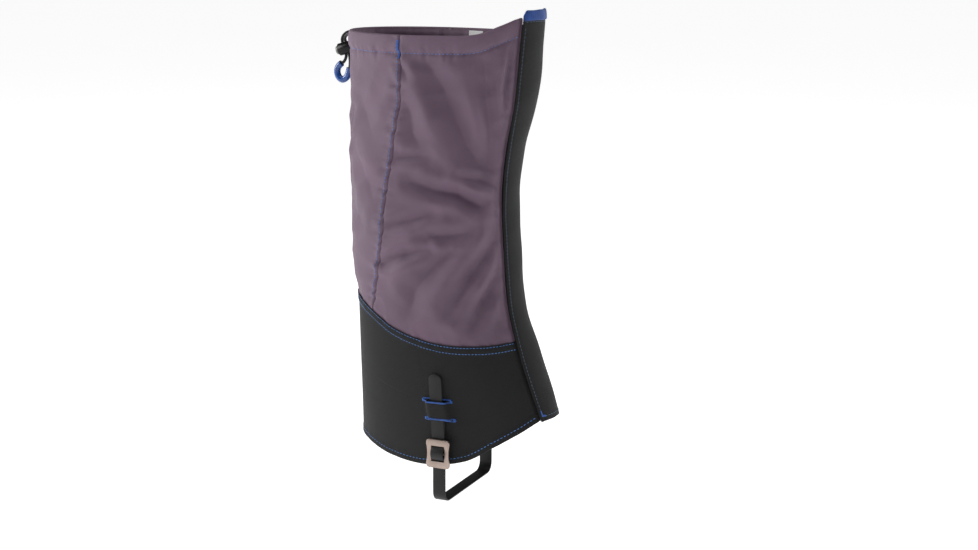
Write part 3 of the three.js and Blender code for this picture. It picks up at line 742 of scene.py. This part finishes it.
def make_pull_tube(path):
    """The soft tube that the cord's loop runs through: its wall's section, carried along the cord."""
    whole = path_length(path) / MM
    start, end = TUBE_SPAN[0] * whole, TUBE_SPAN[1] * whole
    outer, inner = 3.3, 1.75
    wall = np.linspace(start + 0.5, end - 0.5, 48)
    mouth = [(0.15, inner + 0.25), (0, inner + 0.5), (0, outer - 0.5), (0.15, outer - 0.15)]
    stations = [(start + step, radius) for step, radius in mouth]
    stations += [(s, outer) for s in wall]
    stations += [(end - step, radius) for step, radius in mouth[::-1]]
    stations += [(s, inner) for s in wall[::-1]]
    tube = turned_along("pull_tube", path, stations, BLUE_TUBE, 32, closed=True)
    return settle(tube, "sleeve", "cord_sleeve")


def make_drawcord():
    path = smooth_path(CORD_ROUTE) * MM
    loop = settle(cord_piece("drawcord", path), "sleeve", "drawcord_loop")
    tube = make_pull_tube(path)
    body = refined("cord_lock_body", "lock_barrel", BLACK_PLASTIC, 0.7, "lock")
    button = refined("cord_lock_button", "lock_button_cap", GREY_PLASTIC, 0.6, "lock_button")
    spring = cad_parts["cord_lock_spring"]
    spring.data.materials.clear()
    spring.data.materials.append(STEEL)


def make_channel_runs():
    """The cord's two runs round the sleeve, inside the channel."""
    for name, side in (("drawcord_outer_run", 1), ("drawcord_inner_run", -1)):
        angles = np.arange(34, 167, 12) * side
        ring = sleeve(angles, np.full(len(angles), float(CORD_HEIGHT)), -3.05) / MM
        settle(cord_piece(f"{name}_braid", smooth_path(ring) * MM), "sleeve", name)


make_drawcord()
make_channel_runs()

# ---- How the cloth lies --------------------------------------------------------------------

# Folds of the outer side, each a line of (angle, height) places, its width and its depth in millimetres.
FOLDS = [
    ([(88, 434), (78, 411), (72, 393), (65, 375), (54, 349), (39, 324)], 9.0, 3.6),
    ([(55, 444), (51, 428), (47, 393), (41, 367), (38, 348), (37, 328)], 7.0, 2.2),
    ([(31, 444), (33, 421), (34, 402), (30, 382)], 4.0, 2.2),
    ([(100, 337), (89, 338), (79, 340)], 4.5, 1.6),
    ([(89, 314), (72, 306), (58, 304), (50, 298), (41, 292)], 6.5, 3.2),
    ([(57, 320), (46, 317), (36, 314), (24, 309)], 4.5, 2.0),
    ([(108, 269), (97, 274), (89, 277), (76, 284)], 5.5, 2.2),
    ([(82, 257), (76, 262), (62, 264), (50, 267)], 6.0, 2.0),
    ([(113, 231), (99, 240), (91, 244), (79, 250)], 5.0, 2.6),
    ([(58, 254), (75, 235), (90, 209), (95, 190)], 9.0, 2.2),
    ([(24, 268), (38, 245), (49, 229), (56, 216), (66, 190)], 8.0, 2.6),
    ([(24, 238), (37, 210), (47, 194), (58, 172)], 7.0, 3.2),
    ([(32, 287), (22, 283)], 3.5, 1.2),
    ([(101, 425), (96, 412)], 4.0, 1.6),
    ([(98, 392), (93, 380), (90, 360), (85, 350)], 7.0, 1.8),
    ([(135, 390), (119, 352)], 9.0, 1.0),
    ([(140, 340), (122, 308), (118, 292)], 9.0, 1.0),
    ([(150, 290), (130, 262)], 10.0, 0.9),
]
SIDE_RIDGE = 0.55
FOLD_SCALE = 1.75


def random_folds(seed, count, angles, heights):
    random = np.random.default_rng(seed)
    made = []
    for _ in range(count):
        a, z = random.uniform(*angles), random.uniform(*heights)
        reach, lean = random.uniform(12, 26), random.uniform(-55, 55)
        points = [(a + reach * t, z + lean * t + random.uniform(-4, 4)) for t in (-1, 0, 1)]
        made.append((points, random.uniform(5, 9), random.uniform(1.0, 2.6)))
    return made


ALL_FOLDS = FOLDS + random_folds(7, 13, (-95, -40), (205, 425)) + random_folds(11, 6, (155, 235), (235, 420))


def folds(angle, height):
    """How far out the folds push the cloth, in millimetres."""
    total = np.zeros(np.broadcast(angle, height).shape)
    for points, width, depth in ALL_FOLDS:
        nearest = np.full(total.shape, np.inf)
        share = np.zeros(total.shape)
        for k, ((a0, z0), (a1, z1)) in enumerate(zip(points[:-1], points[1:])):
            du, dz = wrap(a1 - a0) * ROUND_MM, z1 - z0
            pu, pz = wrap(angle - a0) * ROUND_MM, height - z0
            t = np.clip((pu * du + pz * dz) / (du * du + dz * dz), 0, 1)
            away = np.hypot(pu - t * du, pz - t * dz)
            closer = away < nearest
            nearest = np.where(closer, away, nearest)
            share = np.where(closer, (k + t) / (len(points) - 1), share)
        strength = FOLD_SCALE * depth * np.sin(np.pi * (0.08 + 0.84 * share)) ** 0.6
        valley = np.exp(-abs(nearest / width) ** 1.25)
        total += strength * (SIDE_RIDGE * bump(nearest - 1.9 * width, width) - valley)
    return total


def drape(angle, height):
    """The slow unevenness of the whole sleeve."""
    around = np.radians(angle)
    return 0.9 * np.sin(3 * around + height / 41) + 0.7 * np.sin(5 * around - height / 29 + 1.3)


def crumple(angle, height):
    """Small crisp ridges in several directions, stronger in some places than in others."""
    random = np.random.default_rng(23)
    round_mm = wrap(angle) * ROUND_MM
    total = np.zeros(np.broadcast(angle, height).shape)
    for lean in (0.15, 0.75, -0.45, -1.0, 0.4):
        reach, phase, place = random.uniform(7, 13), random.uniform(0, 6.28), random.uniform(0, 6.28)
        over = round_mm * math.sin(lean) + height * math.cos(lean)
        past = round_mm * math.cos(lean) - height * math.sin(lean)
        wave = np.sin(over / reach + 1.2 * np.sin(past / (reach * 1.9) + phase))
        ridge = 1 - np.sqrt(wave**2 + 0.02)
        total += 0.75 * ridge * (0.5 + 0.5 * np.sin(past / 37 + place) * np.sin(over / 31 - place))
    return total - 0.6


def sewn_down(distance, reach):
    """0 at a seam, 1 from some way away."""
    return smooth(np.abs(distance) / reach)


def from_front(angle, height):
    """The angle from the front, the way to the flap's seam, and how free the cloth is of the closure."""
    turned = wrap(angle)
    flap_away = (turned - flap_seam(height)) * per_degree(angle, height)
    inner_away = np.maximum(CLOSURE_INNER_ANGLE - turned, 0)
    return turned, flap_away, sewn_down(np.maximum(np.maximum(flap_away, 0), inner_away), 14)


def purple_middle(angle, height):
    """How far out the middle of the upper panels' cloth is."""
    below_rim = rim(angle) - height
    above_ankle = height - ankle_seam(angle)
    turned, flap_away, front = from_front(angle, height)
    round_mm = turned * ROUND_MM
    fading = front * sewn_down(above_ankle, 22) * sewn_down(np.maximum(below_rim - CHANNEL_DEPTH + 3, 0), 16)
    out = (folds(angle, height) + drape(angle, height) + crumple(angle, height)) * fading
    out += 1.5 * front * np.sin(np.pi * np.clip(below_rim / CHANNEL_DEPTH, 0, 1)) ** 0.7
    at_stitching = below_rim - CHANNEL_DEPTH
    out -= 0.9 * front * bump(at_stitching, 1.7)
    gathers = ripple(round_mm, 7.5, 3) * (0.6 + 0.4 * ripple(round_mm, 60, 4))
    out += 1.05 * front * gathers * bump(at_stitching, 6.5)
    out += 0.5 * front * drape(angle, height) * bump(below_rim, 9)
    for side in (1, -1):
        away = (turned * side - side_seam(height)) * per_degree(angle, height)
        out += 0.75 * bump(away - 2.8, 2.4) - 1.0 * bump(away, 0.9)
        out += 1.25 * ripple(height, 10, 5 + side) * bump(away - 3, 6.5) * sewn_down(above_ankle, 8)
    out += np.where(turned > 0, 0.75 * bump(flap_away - 3.6, 2.2) - 1.0 * bump(flap_away, 1.4), 0)
    beside_flap = bump(flap_away, 8) * np.where(turned > 0, 1, 0) * smooth(flap_away / 2)
    out += 0.45 * ripple(height, 12, 9) * beside_flap
    out -= 0.5 * bump(above_ankle, 3.0)
    out += 0.4 * ripple(round_mm, 9, 12) * bump(above_ankle, 9) * front
    return out


def purple_face(angle, height):
    return purple_middle(angle, height) + 0.45


def bridge_out(angle, height):
    """How far out the strip between the two slots stands, over the strap."""
    share = np.clip((BRIDGE_HALF_ANGLE - abs(wrap(angle) - BRIDGE_ANGLE)) / 2.6, 0, 1)
    inside = (height >= BRIDGE_BOTTOM - 0.01) & (height <= BRIDGE_TOP + 0.01)
    return np.where(inside, BRIDGE_RISE * smooth(share), 0)


TOP_BAND = 8.6
HEM_BAND = 7.5


def ankle_middle(angle, height):
    """How far out the middle of the ankle panels' cloth is."""
    turned, flap_away, front = from_front(angle, height)
    round_mm = turned * ROUND_MM
    below_seam = ankle_seam(angle) - height
    above_hem = height - hem(angle)
    calm = 1 - bump(turned - BRIDGE_ANGLE, 14)
    out = 0.55 * drape(angle * 0.8, height * 0.7) * front * sewn_down(below_seam, 20) * calm
    out += 0.9 * (1 - smooth((below_seam - TOP_BAND + 1.4) / 2.2)) * (0.35 + 0.65 * front)
    for row in (1.6, 7.4):
        out -= 0.4 * bump(below_seam - row, 0.9)
    out += 0.25 * ripple(round_mm, 8, 21) * bump(below_seam - 4, 4) * front
    out += 0.45 * (1 - smooth((above_hem - HEM_BAND + 1) / 2)) - 0.35 * bump(above_hem - 5, 0.9)
    out += 0.22 * ripple(round_mm, 9, 23) * bump(above_hem - 4, 5) * front
    out += np.where(turned > 0, 0.5 * bump(flap_away - 3.6, 2.0) - 0.8 * bump(flap_away, 1.3), 0)
    out -= 0.9 * bump((180 - abs(turned)) * per_degree(angle, height), 0.9)
    return out + bridge_out(angle, height)


def ankle_face(angle, height):
    return ankle_middle(angle, height) + 0.5


def flap_seam_line(height):
    """The flap's own sewn side, just past the seam's line."""
    return flap_seam(height) - 0.6


def flap_middle(angle, height):
    """How far out the middle of the front flap's cloth is."""
    left = (flap_seam_line(height) - angle) * per_degree(angle, height)
    right = (angle - FLAP_EDGE_ANGLE) * per_degree(angle, height)
    out = 3.1 + 0.35 * np.sin(height / 23) * np.sin(np.radians(angle * 4))
    out += 0.18 * np.sin(height / 7 + angle / 9)
    out += 0.45 * (bump(left - 1.4, 1.3) + bump(right - 1.4, 1.3))
    out -= 1.2 * bump(left, 0.8) + 0.5 * bump(right, 0.7)
    out -= 0.35 * (bump(left - 3.1, 0.8) + bump(right - 3.1, 0.8))
    out -= 0.3 * bump(rim(angle) - 0.5 - height - 3.2, 0.8)
    return out + 0.12 * ripple(height, 6, 31) * (bump(left - 3, 3) + bump(right - 3, 3))


def flap_face(angle, height):
    return flap_middle(angle, height) + 0.65


# ---- Upper panels --------------------------------------------------------------------------

PURPLE_THICKNESS = 0.9
ROLL_RADIUS = 1.5
SIDE_TAPE_TOP = 433
LABEL_ANGLE = -88
LABEL_ARC = 10
LABEL_TOP = 450


def rolled_over(angle, height, out):
    """The panel's grid carried over the rim and a little way down inside."""
    turns = np.radians([25, 55, 90, 125, 155, 180])
    angles, heights, outs = [angle], [height], [out]
    last_angle, last_height, last_out = angle[:, -1:], height[:, -1:], out[:, -1:]
    for turn in turns:
        angles.append(last_angle)
        heights.append(last_height + ROLL_RADIUS * math.sin(turn))
        outs.append(last_out - ROLL_RADIUS * (1 - math.cos(turn)))
    for down in (1.2, 2.4, 3.4):
        angles.append(last_angle)
        heights.append(last_height - down)
        outs.append(last_out - 2 * ROLL_RADIUS)
    return np.hstack(angles), np.hstack(heights), np.hstack(outs)


def upper_panel(name, left, right, node):
    angle, height = patch(left, right, lambda a: ankle_seam(a) - 1.5, lambda a: rim(a) - ROLL_RADIUS)
    angle, height, out = rolled_over(angle, height, purple_middle(angle, height))
    return settle(cloth(name, sleeve(angle, height, out), PURPLE_THICKNESS, PURPLE), "sleeve", node)


def make_upper_panels():
    tuck = 0.12
    outer = upper_panel("upper_outer_cloth", lambda z: flap_seam(z) - 1.5, lambda z: side_seam(z) + tuck,
                        "upper_outer_panel")
    inner = upper_panel("upper_inner_cloth", lambda z: -side_seam(z) - tuck, INNER_EDGE_ANGLE,
                        "upper_inner_panel")
    calf = upper_panel("calf_cloth", lambda z: side_seam(z) - tuck, lambda z: 360 - side_seam(z) + tuck,
                       "calf_panel")
    seam_stitches("rim_stitching", level_line(27, 333, lambda a: rim(a) - CHANNEL_DEPTH, 1400), purple_face)
    for side, word in ((1, "outer"), (-1, "inner")):
        angle, height = rising_line(195, 449, side_seam, 2.9, 800)
        seam_stitches(f"{word}_side_seam_stitching", (angle * side, height), purple_face)


def make_seam_tack():
    """The bright tack that ends the outer side seam at the rim."""
    rows = np.arange(431, 447, 0.55)
    bars("side_seam_tack", (side_seam(rows) + 0.9, rows), purple_face, 1.9, False, BRIGHT_THREAD, radius=0.36)


def channel_out(angle, height):
    """How far out the facing of the drawcord's channel is: clear of the cord, and sewn down below it."""
    below = rim(angle) - height
    clear = smooth((CHANNEL_DEPTH + 1 - below) / 5.0)
    turned_out = 1.6 * (1 - smooth((below - 1.5) / 4.0))
    out = (purple_middle(angle, height) - 0.95) * (1 - clear) - 6.0 * clear + turned_out
    return out + 0.3 * ripple(angle * ROUND_MM, 9, 41)


def make_channel():
    edges = (30, 330, lambda a: rim(a) - CHANNEL_DEPTH - 2, lambda a: rim(a) - 1.6)
    lining = panel("channel_facing", edges, channel_out, 0.7, PURPLE, "channel_lining")
    for word in ("outer", "inner"):
        refined(f"eyelet_{word}", f"{word}_eyelet", BLACK_PLASTIC, 0.25, "sleeve", 2)


def inner_tape(name, edges, middle, depth, material, node):
    """A thin tape inside the cloth, that many millimetres in from the cloth's middle."""
    panel(name, edges, lambda a, z: middle(a, z) - depth, 0.6, material, node, step=2.2)


def make_side_tapes():
    for side, word in ((1, "outer"), (-1, "inner")):
        edges = (lambda z: side * side_seam(z) - 3, lambda z: side * side_seam(z) + 3,
                 lambda a: ankle_seam(a) + 1.5, SIDE_TAPE_TOP)
        inner_tape(f"side_seam_binding_{word}", edges, purple_middle, 1.2, PURPLE, f"side_seam_tape_{word}")


def label_out(angle, height):
    return -7.1 - 0.8 * np.sin(np.pi * (angle - LABEL_ANGLE) / LABEL_ARC) * smooth((LABEL_TOP - height) / 20)


def make_label():
    edges = (LABEL_ANGLE, LABEL_ANGLE + LABEL_ARC, LABEL_TOP - 26, LABEL_TOP)
    label = panel("blank_label", edges, label_out, 0.35, WHITE, "care_label", step=1.2)


make_upper_panels()
make_seam_tack()
make_channel()
make_side_tapes()
make_label()

# ---- Ankle panels --------------------------------------------------------------------------

ANKLE_THICKNESS = 1.0
SLIT = 0.7


def with_rows_at(lines, height):
    """Moves the nearest rows of a grid onto given heights, so that slots can be cut along them."""
    grid = height.copy()
    for target in lines:
        row = np.argmin(np.abs(grid - target), axis=1)
        grid[np.arange(len(row)), row] = target
    return np.sort(grid, axis=1)


def ankle_outer():
    left, right = BRIDGE_ANGLE - BRIDGE_HALF_ANGLE, BRIDGE_ANGLE + BRIDGE_HALF_ANGLE
    angle, height = patch(lambda z: flap_seam(z) - 1.5, 180, hem, ankle_seam, 1.5)
    lines = (BRIDGE_BOTTOM - SLIT, BRIDGE_BOTTOM, BRIDGE_TOP, BRIDGE_TOP + SLIT)
    near = (angle > left - 3) & (angle < right + 3)
    height = np.where(near, with_rows_at(lines, height), height)
    middle_angle = (angle[:-1, :-1] + angle[1:, 1:]) / 2
    middle_height = (height[:-1, :-1] + height[1:, 1:]) / 2
    over_strap = (middle_angle > left + 0.5) & (middle_angle < right - 0.5)
    in_slot = (abs(middle_height - BRIDGE_TOP - SLIT / 2) < SLIT * 0.49)
    in_slot |= (abs(middle_height - BRIDGE_BOTTOM + SLIT / 2) < SLIT * 0.49)
    points = sleeve(angle, height, ankle_middle(angle, height))
    return cloth("ankle_outer_cloth", points, ANKLE_THICKNESS, BLACK, keep=~(over_strap & in_slot))


def make_ankle_panels():
    outer = settle(ankle_outer(), "sleeve", "ankle_outer_panel")
    inner = panel("ankle_inner_cloth", (-180, INNER_EDGE_ANGLE, hem, ankle_seam), ankle_middle,
                  ANKLE_THICKNESS, BLACK, "ankle_inner_panel")
    for row, drop in (("upper", 1.6), ("lower", 7.4)):
        line = level_line(25.5, 332, lambda a: ankle_seam(a) - drop, 1400)
        seam_stitches(f"ankle_seam_stitching_{row}", line, ankle_face, length=2.4, gap=0.8)
    seam_stitches("hem_stitching", level_line(26, 332, lambda a: hem(a) + 5, 1400), ankle_face, length=2.8)
    for side, word in ((1, "outer"), (-1, "inner")):
        line = rising_line(57, 188, 180.0, -2.4 * side, 300)
        seam_stitches(f"heel_seam_stitching_{word}", line, ankle_face, BLACK_THREAD)


def black_tape(name, left, right, bottom, top, node):
    inner_tape(name, (left, right, bottom, top), ankle_middle, 1.1, TAPE, node)


def make_ankle_tapes():
    spans = {"outer": (lambda z: flap_seam(z) + 1, 179.5), "inner": (-179.5, INNER_EDGE_ANGLE - 12)}
    for word, span in spans.items():
        black_tape(f"hem_binding_{word}", *span, lambda a: hem(a) + 0.7, lambda a: hem(a) + 9,
                   f"hem_facing_{word}")
        black_tape(f"ankle_seam_binding_{word}", *span, lambda a: ankle_seam(a) - 9,
                   lambda a: ankle_seam(a) - 0.6, f"ankle_seam_tape_{word}")
    black_tape("heel_seam_binding", 177, 183, lambda a: hem(a) + 9.5, lambda a: ankle_seam(a) - 9.5,
               "heel_seam_tape")


def level_face(out):
    return lambda angle, height: np.full_like(angle, out)


def make_slots():
    """Blue stitching round the two slots that the strap goes through."""
    left, right = BRIDGE_ANGLE - BRIDGE_HALF_ANGLE - 0.6, BRIDGE_ANGLE + BRIDGE_HALF_ANGLE + 0.6
    row = np.arange(left, right, 0.5 / ROUND_MM)
    for word, edge, away in (("upper", BRIDGE_TOP, 1), ("lower", BRIDGE_BOTTOM, -1)):
        bars(f"{word}_slot_stitching", (row, edge - away * 0.75), lambda a, z: bridge_out(a, z) + 0.75, 1.8,
             True, BRIGHT_THREAD, f"{word}_slot_binding")
        bars(f"{word}_slot_back_stitching", (row, edge + away * (SLIT + 0.8)), level_face(0.7), 1.6, True,
             BRIGHT_THREAD)
        for end, word_end in ((left, "front"), (right, "rear")):
            bars(f"{word}_slot_{word_end}_tack", (end, np.arange(edge - 1.2, edge + 1.3, 0.5)),
                 level_face(0.95), 2.0, False, BRIGHT_THREAD, radius=0.36)


def make_slot_backing():
    """The piece of cloth inside, behind the two slots."""
    edges = (BRIDGE_ANGLE - 11, BRIDGE_ANGLE + 11, BRIDGE_BOTTOM - 7, BRIDGE_TOP + 7)
    backing = panel("slot_backing_cloth", edges, -1.0, 0.6, BLACK)


make_ankle_panels()
make_ankle_tapes()
make_slots()
make_slot_backing()

# ---- Front closure -------------------------------------------------------------------------

FLAP_THICKNESS = 1.3
HOOK_PIVOT = (-97.4, 108)


def make_flap():
    edges = (FLAP_EDGE_ANGLE, flap_seam_line, lambda a: hem(a) - 0.5, lambda a: rim(a) - 0.5)
    flap = panel("front_placket", edges, flap_middle, FLAP_THICKNESS, BLACK, "front_flap", "front_flap_lower",
                 body="peeling", step=1.5)
    for word, edge, offset in (("seam", flap_seam_line, -2.4), ("edge", FLAP_EDGE_ANGLE, 3.1)):
        seam_stitches(f"placket_{word}_stitching", rising_line(90, 463, edge, offset, 900), flap_face,
                      DULL_THREAD, "peeling", radius=0.26)
    ends = {"top": level_line(-25, 22.5, lambda a: rim(a) - 3.7),
            "hem": level_line(-25, 21, lambda a: hem(a) + 4)}
    for word, line in ends.items():
        seam_stitches(f"placket_{word}_stitching", line, flap_face, DULL_THREAD, "peeling", radius=0.3)


def tab_top(angle):
    """The height of the pull tab's fold, lower at its two ends."""
    ends = smooth((angle - FLAP_EDGE_ANGLE - 1) / 5) * smooth((flap_seam(465) - 1 - angle) / 3)
    return rim(angle) + 2.6 + 4.0 * ends + 0.25 * np.sin(angle / 3)


def make_pull_tab():
    """Blue tape folded double, sewn in at the flap's top."""
    angle, height = patch(FLAP_EDGE_ANGLE + 1, lambda z: flap_seam(z) - 1, lambda a: rim(a) - 2.5, tab_top,
                          1.0)
    share = (height - height[:, :1]) / (height[:, -1:] - height[:, :1])
    apart = 1.35 * np.sqrt(np.clip(1 - share**3, 0, 1)) + 0.12 * np.sin(angle / 2.5)
    out = np.hstack([3.05 + apart, 3.05 - apart[:, -2::-1]])
    folded = sleeve(np.hstack([angle, angle[:, -2::-1]]), np.hstack([height, height[:, -2::-1]]), out)
    tab = settle(cloth("pull_tab_fold", folded, 0.9, BLUE_TAPE), "peeling", "pull_tab")


def tack_line(height):
    return flap_seam_line(height) - 3.1 / ROUND_MM


def make_bartack():
    """The bright tack that ends the flap's seam at the hem, and its foot."""
    rows = np.arange(88.5, 93.5, 0.55)
    bars("placket_tack", (tack_line(rows), rows), flap_face, 2.6, False, BRIGHT_THREAD, radius=0.36)
    across = np.arange(tack_line(89.0) - 3.4, tack_line(89.0), 0.42)
    bars("placket_tack_foot", (across, 89.0), flap_face, 2.2, True, BRIGHT_THREAD, radius=0.36)


def underlap_out(angle, height):
    return -2.4 + 0.12 * np.sin(height / 17) * np.sin(np.radians(angle * 5))


def make_closure_tapes():
    edges = (INNER_EDGE_ANGLE - 10, UNDERLAP_EDGE_ANGLE, lambda a: hem(a) + 2, lambda a: rim(a) - 6)
    underlap = panel("front_underlap", edges, underlap_out, 0.9, BLACK, "underlap", step=1.8)
    pile = panel("loop_tape_pile", (-14.5, 12.5, 95, 457), -0.7, 0.9, LOOPS, "loop_tape", step=1.4)
    hooks = panel("hook_tape_rows", (-13, 11, 96, 456), 1.25, 0.7, HOOKS, "flap_hook_tape",
                  "flap_hook_tape_lower", body="peeling", step=1.4)


def make_lace_hook():
    refined("lace_hook", "lace_hook_plate", STEEL, 0.3, "hook", 2)
    y, z = HOOK_PIVOT
    round_it = np.radians(np.linspace(180, 360, 9))
    loop = [(y + 2.2, z + 14), (y - 1.5, z + 1)]
    loop += [(y + 1.55 * math.cos(t), z - 0.2 + 1.55 * math.sin(t)) for t in round_it]
    loop += [(y + 1.5, z + 1), (y + 4.6, z + 14)]
    tab = webbing("lace_hook_loop", [(0, *place) for place in loop], (1, 0, 0), 7, 0.7, TAPE)
    settle(tab, "sleeve", "lace_hook_tab")


make_flap()
make_pull_tab()
make_bartack()
make_closure_tapes()
make_lace_hook()

# ---- Strap and buckle ----------------------------------------------------------------------

STRAP_WIDTH = 13.4
STRAP_THICKNESS = 1.3
STRAP_REACH = 56.5
STRAP_FACE = STRAP_REACH - STRAP_THICKNESS / 2
STRAP_BEND_RADIUS = 9
OVER_BAR = [(-58.4, 43.7), (-60.9, 46.1), (-62.3, 50.4), (-61.1, 54.7), (-58.5, 57.2)]
TAIL_LEAN = 0.062
BAR_HEIGHT = 49
COVER_ANGLE = -87.0


def make_straps():
    middle = STRAP_THICKNESS / 2
    radius = STRAP_BEND_RADIUS + middle
    path = [(-STRAP_FACE, STRAP_Y, 40.2)]
    for side, first in ((-1, 180), (1, 270)):
        for t in np.radians(np.linspace(first, first + 90, 13)):
            path.append((side * (STRAP_FACE - radius) + radius * math.cos(t), STRAP_Y,
                         middle + radius + radius * math.sin(t)))
    path += [(STRAP_FACE, STRAP_Y, 58)]
    strap = webbing("strap_under_boot", path, (0, 1, 0), STRAP_WIDTH, STRAP_THICKNESS, STRAP)
    settle(strap, "stirrup", "instep_strap")
    over = smooth_path([(x, STRAP_Y, z) for x, z in OVER_BAR])
    bend = webbing("strap_over_bar", over, (0, 1, 0), STRAP_WIDTH - 0.2, STRAP_THICKNESS, STRAP)
    settle(bend, "buckle", "strap_bend")
    base, lean = np.array([-STRAP_FACE, STRAP_Y, 48.6]), np.array([0, TAIL_LEAN, 1.0])
    up = [base + lean * s for s in np.linspace(0.4, 80.2, 44)]
    tail = webbing("strap_tail_end", up, (0, 1, -TAIL_LEAN), STRAP_WIDTH, STRAP_THICKNESS, STRAP, (0, 5.5))
    settle(tail, "tail", "strap_tail")


def make_buckle():
    refined("buckle_frame", "buckle_casting", NICKEL, 0.45, "buckle")
    back, radius, y = -54.55, 3, STRAP_Y + 1
    loop = [(back, y, 98)]
    loop += [(back - radius + radius * math.cos(t), y, BAR_HEIGHT + radius * math.sin(t))
             for t in np.radians(np.linspace(0, -180, 15))]
    loop += [(back - 2 * radius, y, 51.8)]
    settle(webbing("buckle_holding_tape", loop, (0, 1, 0), 12, 0.7, TAPE), "sleeve", "buckle_anchor_loop")


def cover_middle(angle, height):
    """How far out the cover over the strap's sewn end is."""
    away = abs(angle - COVER_ANGLE) * ROUND_MM
    plateau = 1 - smooth((away - 7.2) / 2.2)
    closed = smooth((67.5 - height) / 3.0)
    return 1.15 + ankle_middle(np.full_like(angle, COVER_ANGLE), height) * 0.3 + 4.1 * plateau * closed


def cover_face(angle, height):
    return cover_middle(angle, height) + 0.45


def make_anchor_patch():
    cover = panel("strap_end_cover", (-95.2, -78.8, 42.5, 69), cover_middle, 0.9, BLACK, "strap_anchor_patch",
                  step=0.9)
    lines = {"front": rising_line(44, 68, -79.9, count=60), "rear": rising_line(44, 68, -94.1, count=60),
             "upper": level_line(-92, -82, lambda a: np.full_like(a, 65.2), 60),
             "lower": level_line(-92, -82, lambda a: np.full_like(a, 50.0), 60)}
    for word, line in lines.items():
        seam_stitches(f"cover_{word}_stitching", line, cover_face, BLACK_THREAD, length=2.0, gap=0.6)


make_straps()
make_buckle()
make_anchor_patch()

# ---- Floor, light and view transform -------------------------------------------------------

FLOOR_HEIGHT = -0.012  # the ground that the boot would stand on
FLOOR_REACH = 30


def make_floor():
    paint = Finish("studio_floor", 0.9, Specular_IOR_Level=0.1)
    paint.colours(paint.noise(0.7, 2.0), (1, 1, 1), 0.86, 0.9)
    paint.feed(paint.shader.inputs["Emission Color"], (1, 1, 1, 1))
    paint.feed(paint.shader.inputs["Emission Strength"], 0.85)
    corners = [(x, y, FLOOR_HEIGHT) for x, y in ((-1, -1), (1, -1), (1, 1), (-1, 1))]
    points = [(x * FLOOR_REACH, y * FLOOR_REACH, z) for x, y, z in corners]
    new_mesh("floor", points, [(0, 1, 2, 3)], paint.material)


def soft_light(name, right, back, up, size, watts):
    """A square light that faces the part. right and back are as the camera sees them."""
    data = bpy.data.lights.new(name, "AREA")
    data.size = size
    data.energy = watts
    lamp = bpy.data.objects.new(name, data)
    bpy.context.scene.collection.objects.link(lamp)
    place = TO_THE_RIGHT * right + TOWARDS_LEG * back + Vector((0, 0, up))
    aim = Vector((0, 0, 0.25)) - place
    lamp.matrix_world = Matrix.Translation(place) @ aim.to_track_quat("-Z", "Y").to_matrix().to_4x4()


def make_lights():
    world = bpy.data.worlds.new("studio")
    bpy.context.scene.world = world
    world.use_nodes = True
    background = world.node_tree.nodes["Background"]
    background.inputs["Color"].default_value = (1, 1, 1, 1)
    background.inputs["Strength"].default_value = 0.12
    soft_light("left_softbox", -2.0, 0.1, 0.9, 1.0, 30)
    soft_light("right_softbox", 2.1, 0.3, 0.8, 0.9, 17)
    soft_light("top_softbox", 0.0, -0.5, 2.6, 1.2, 20)


make_floor()
make_lights()
bpy.context.scene.view_settings.view_transform = "Standard"
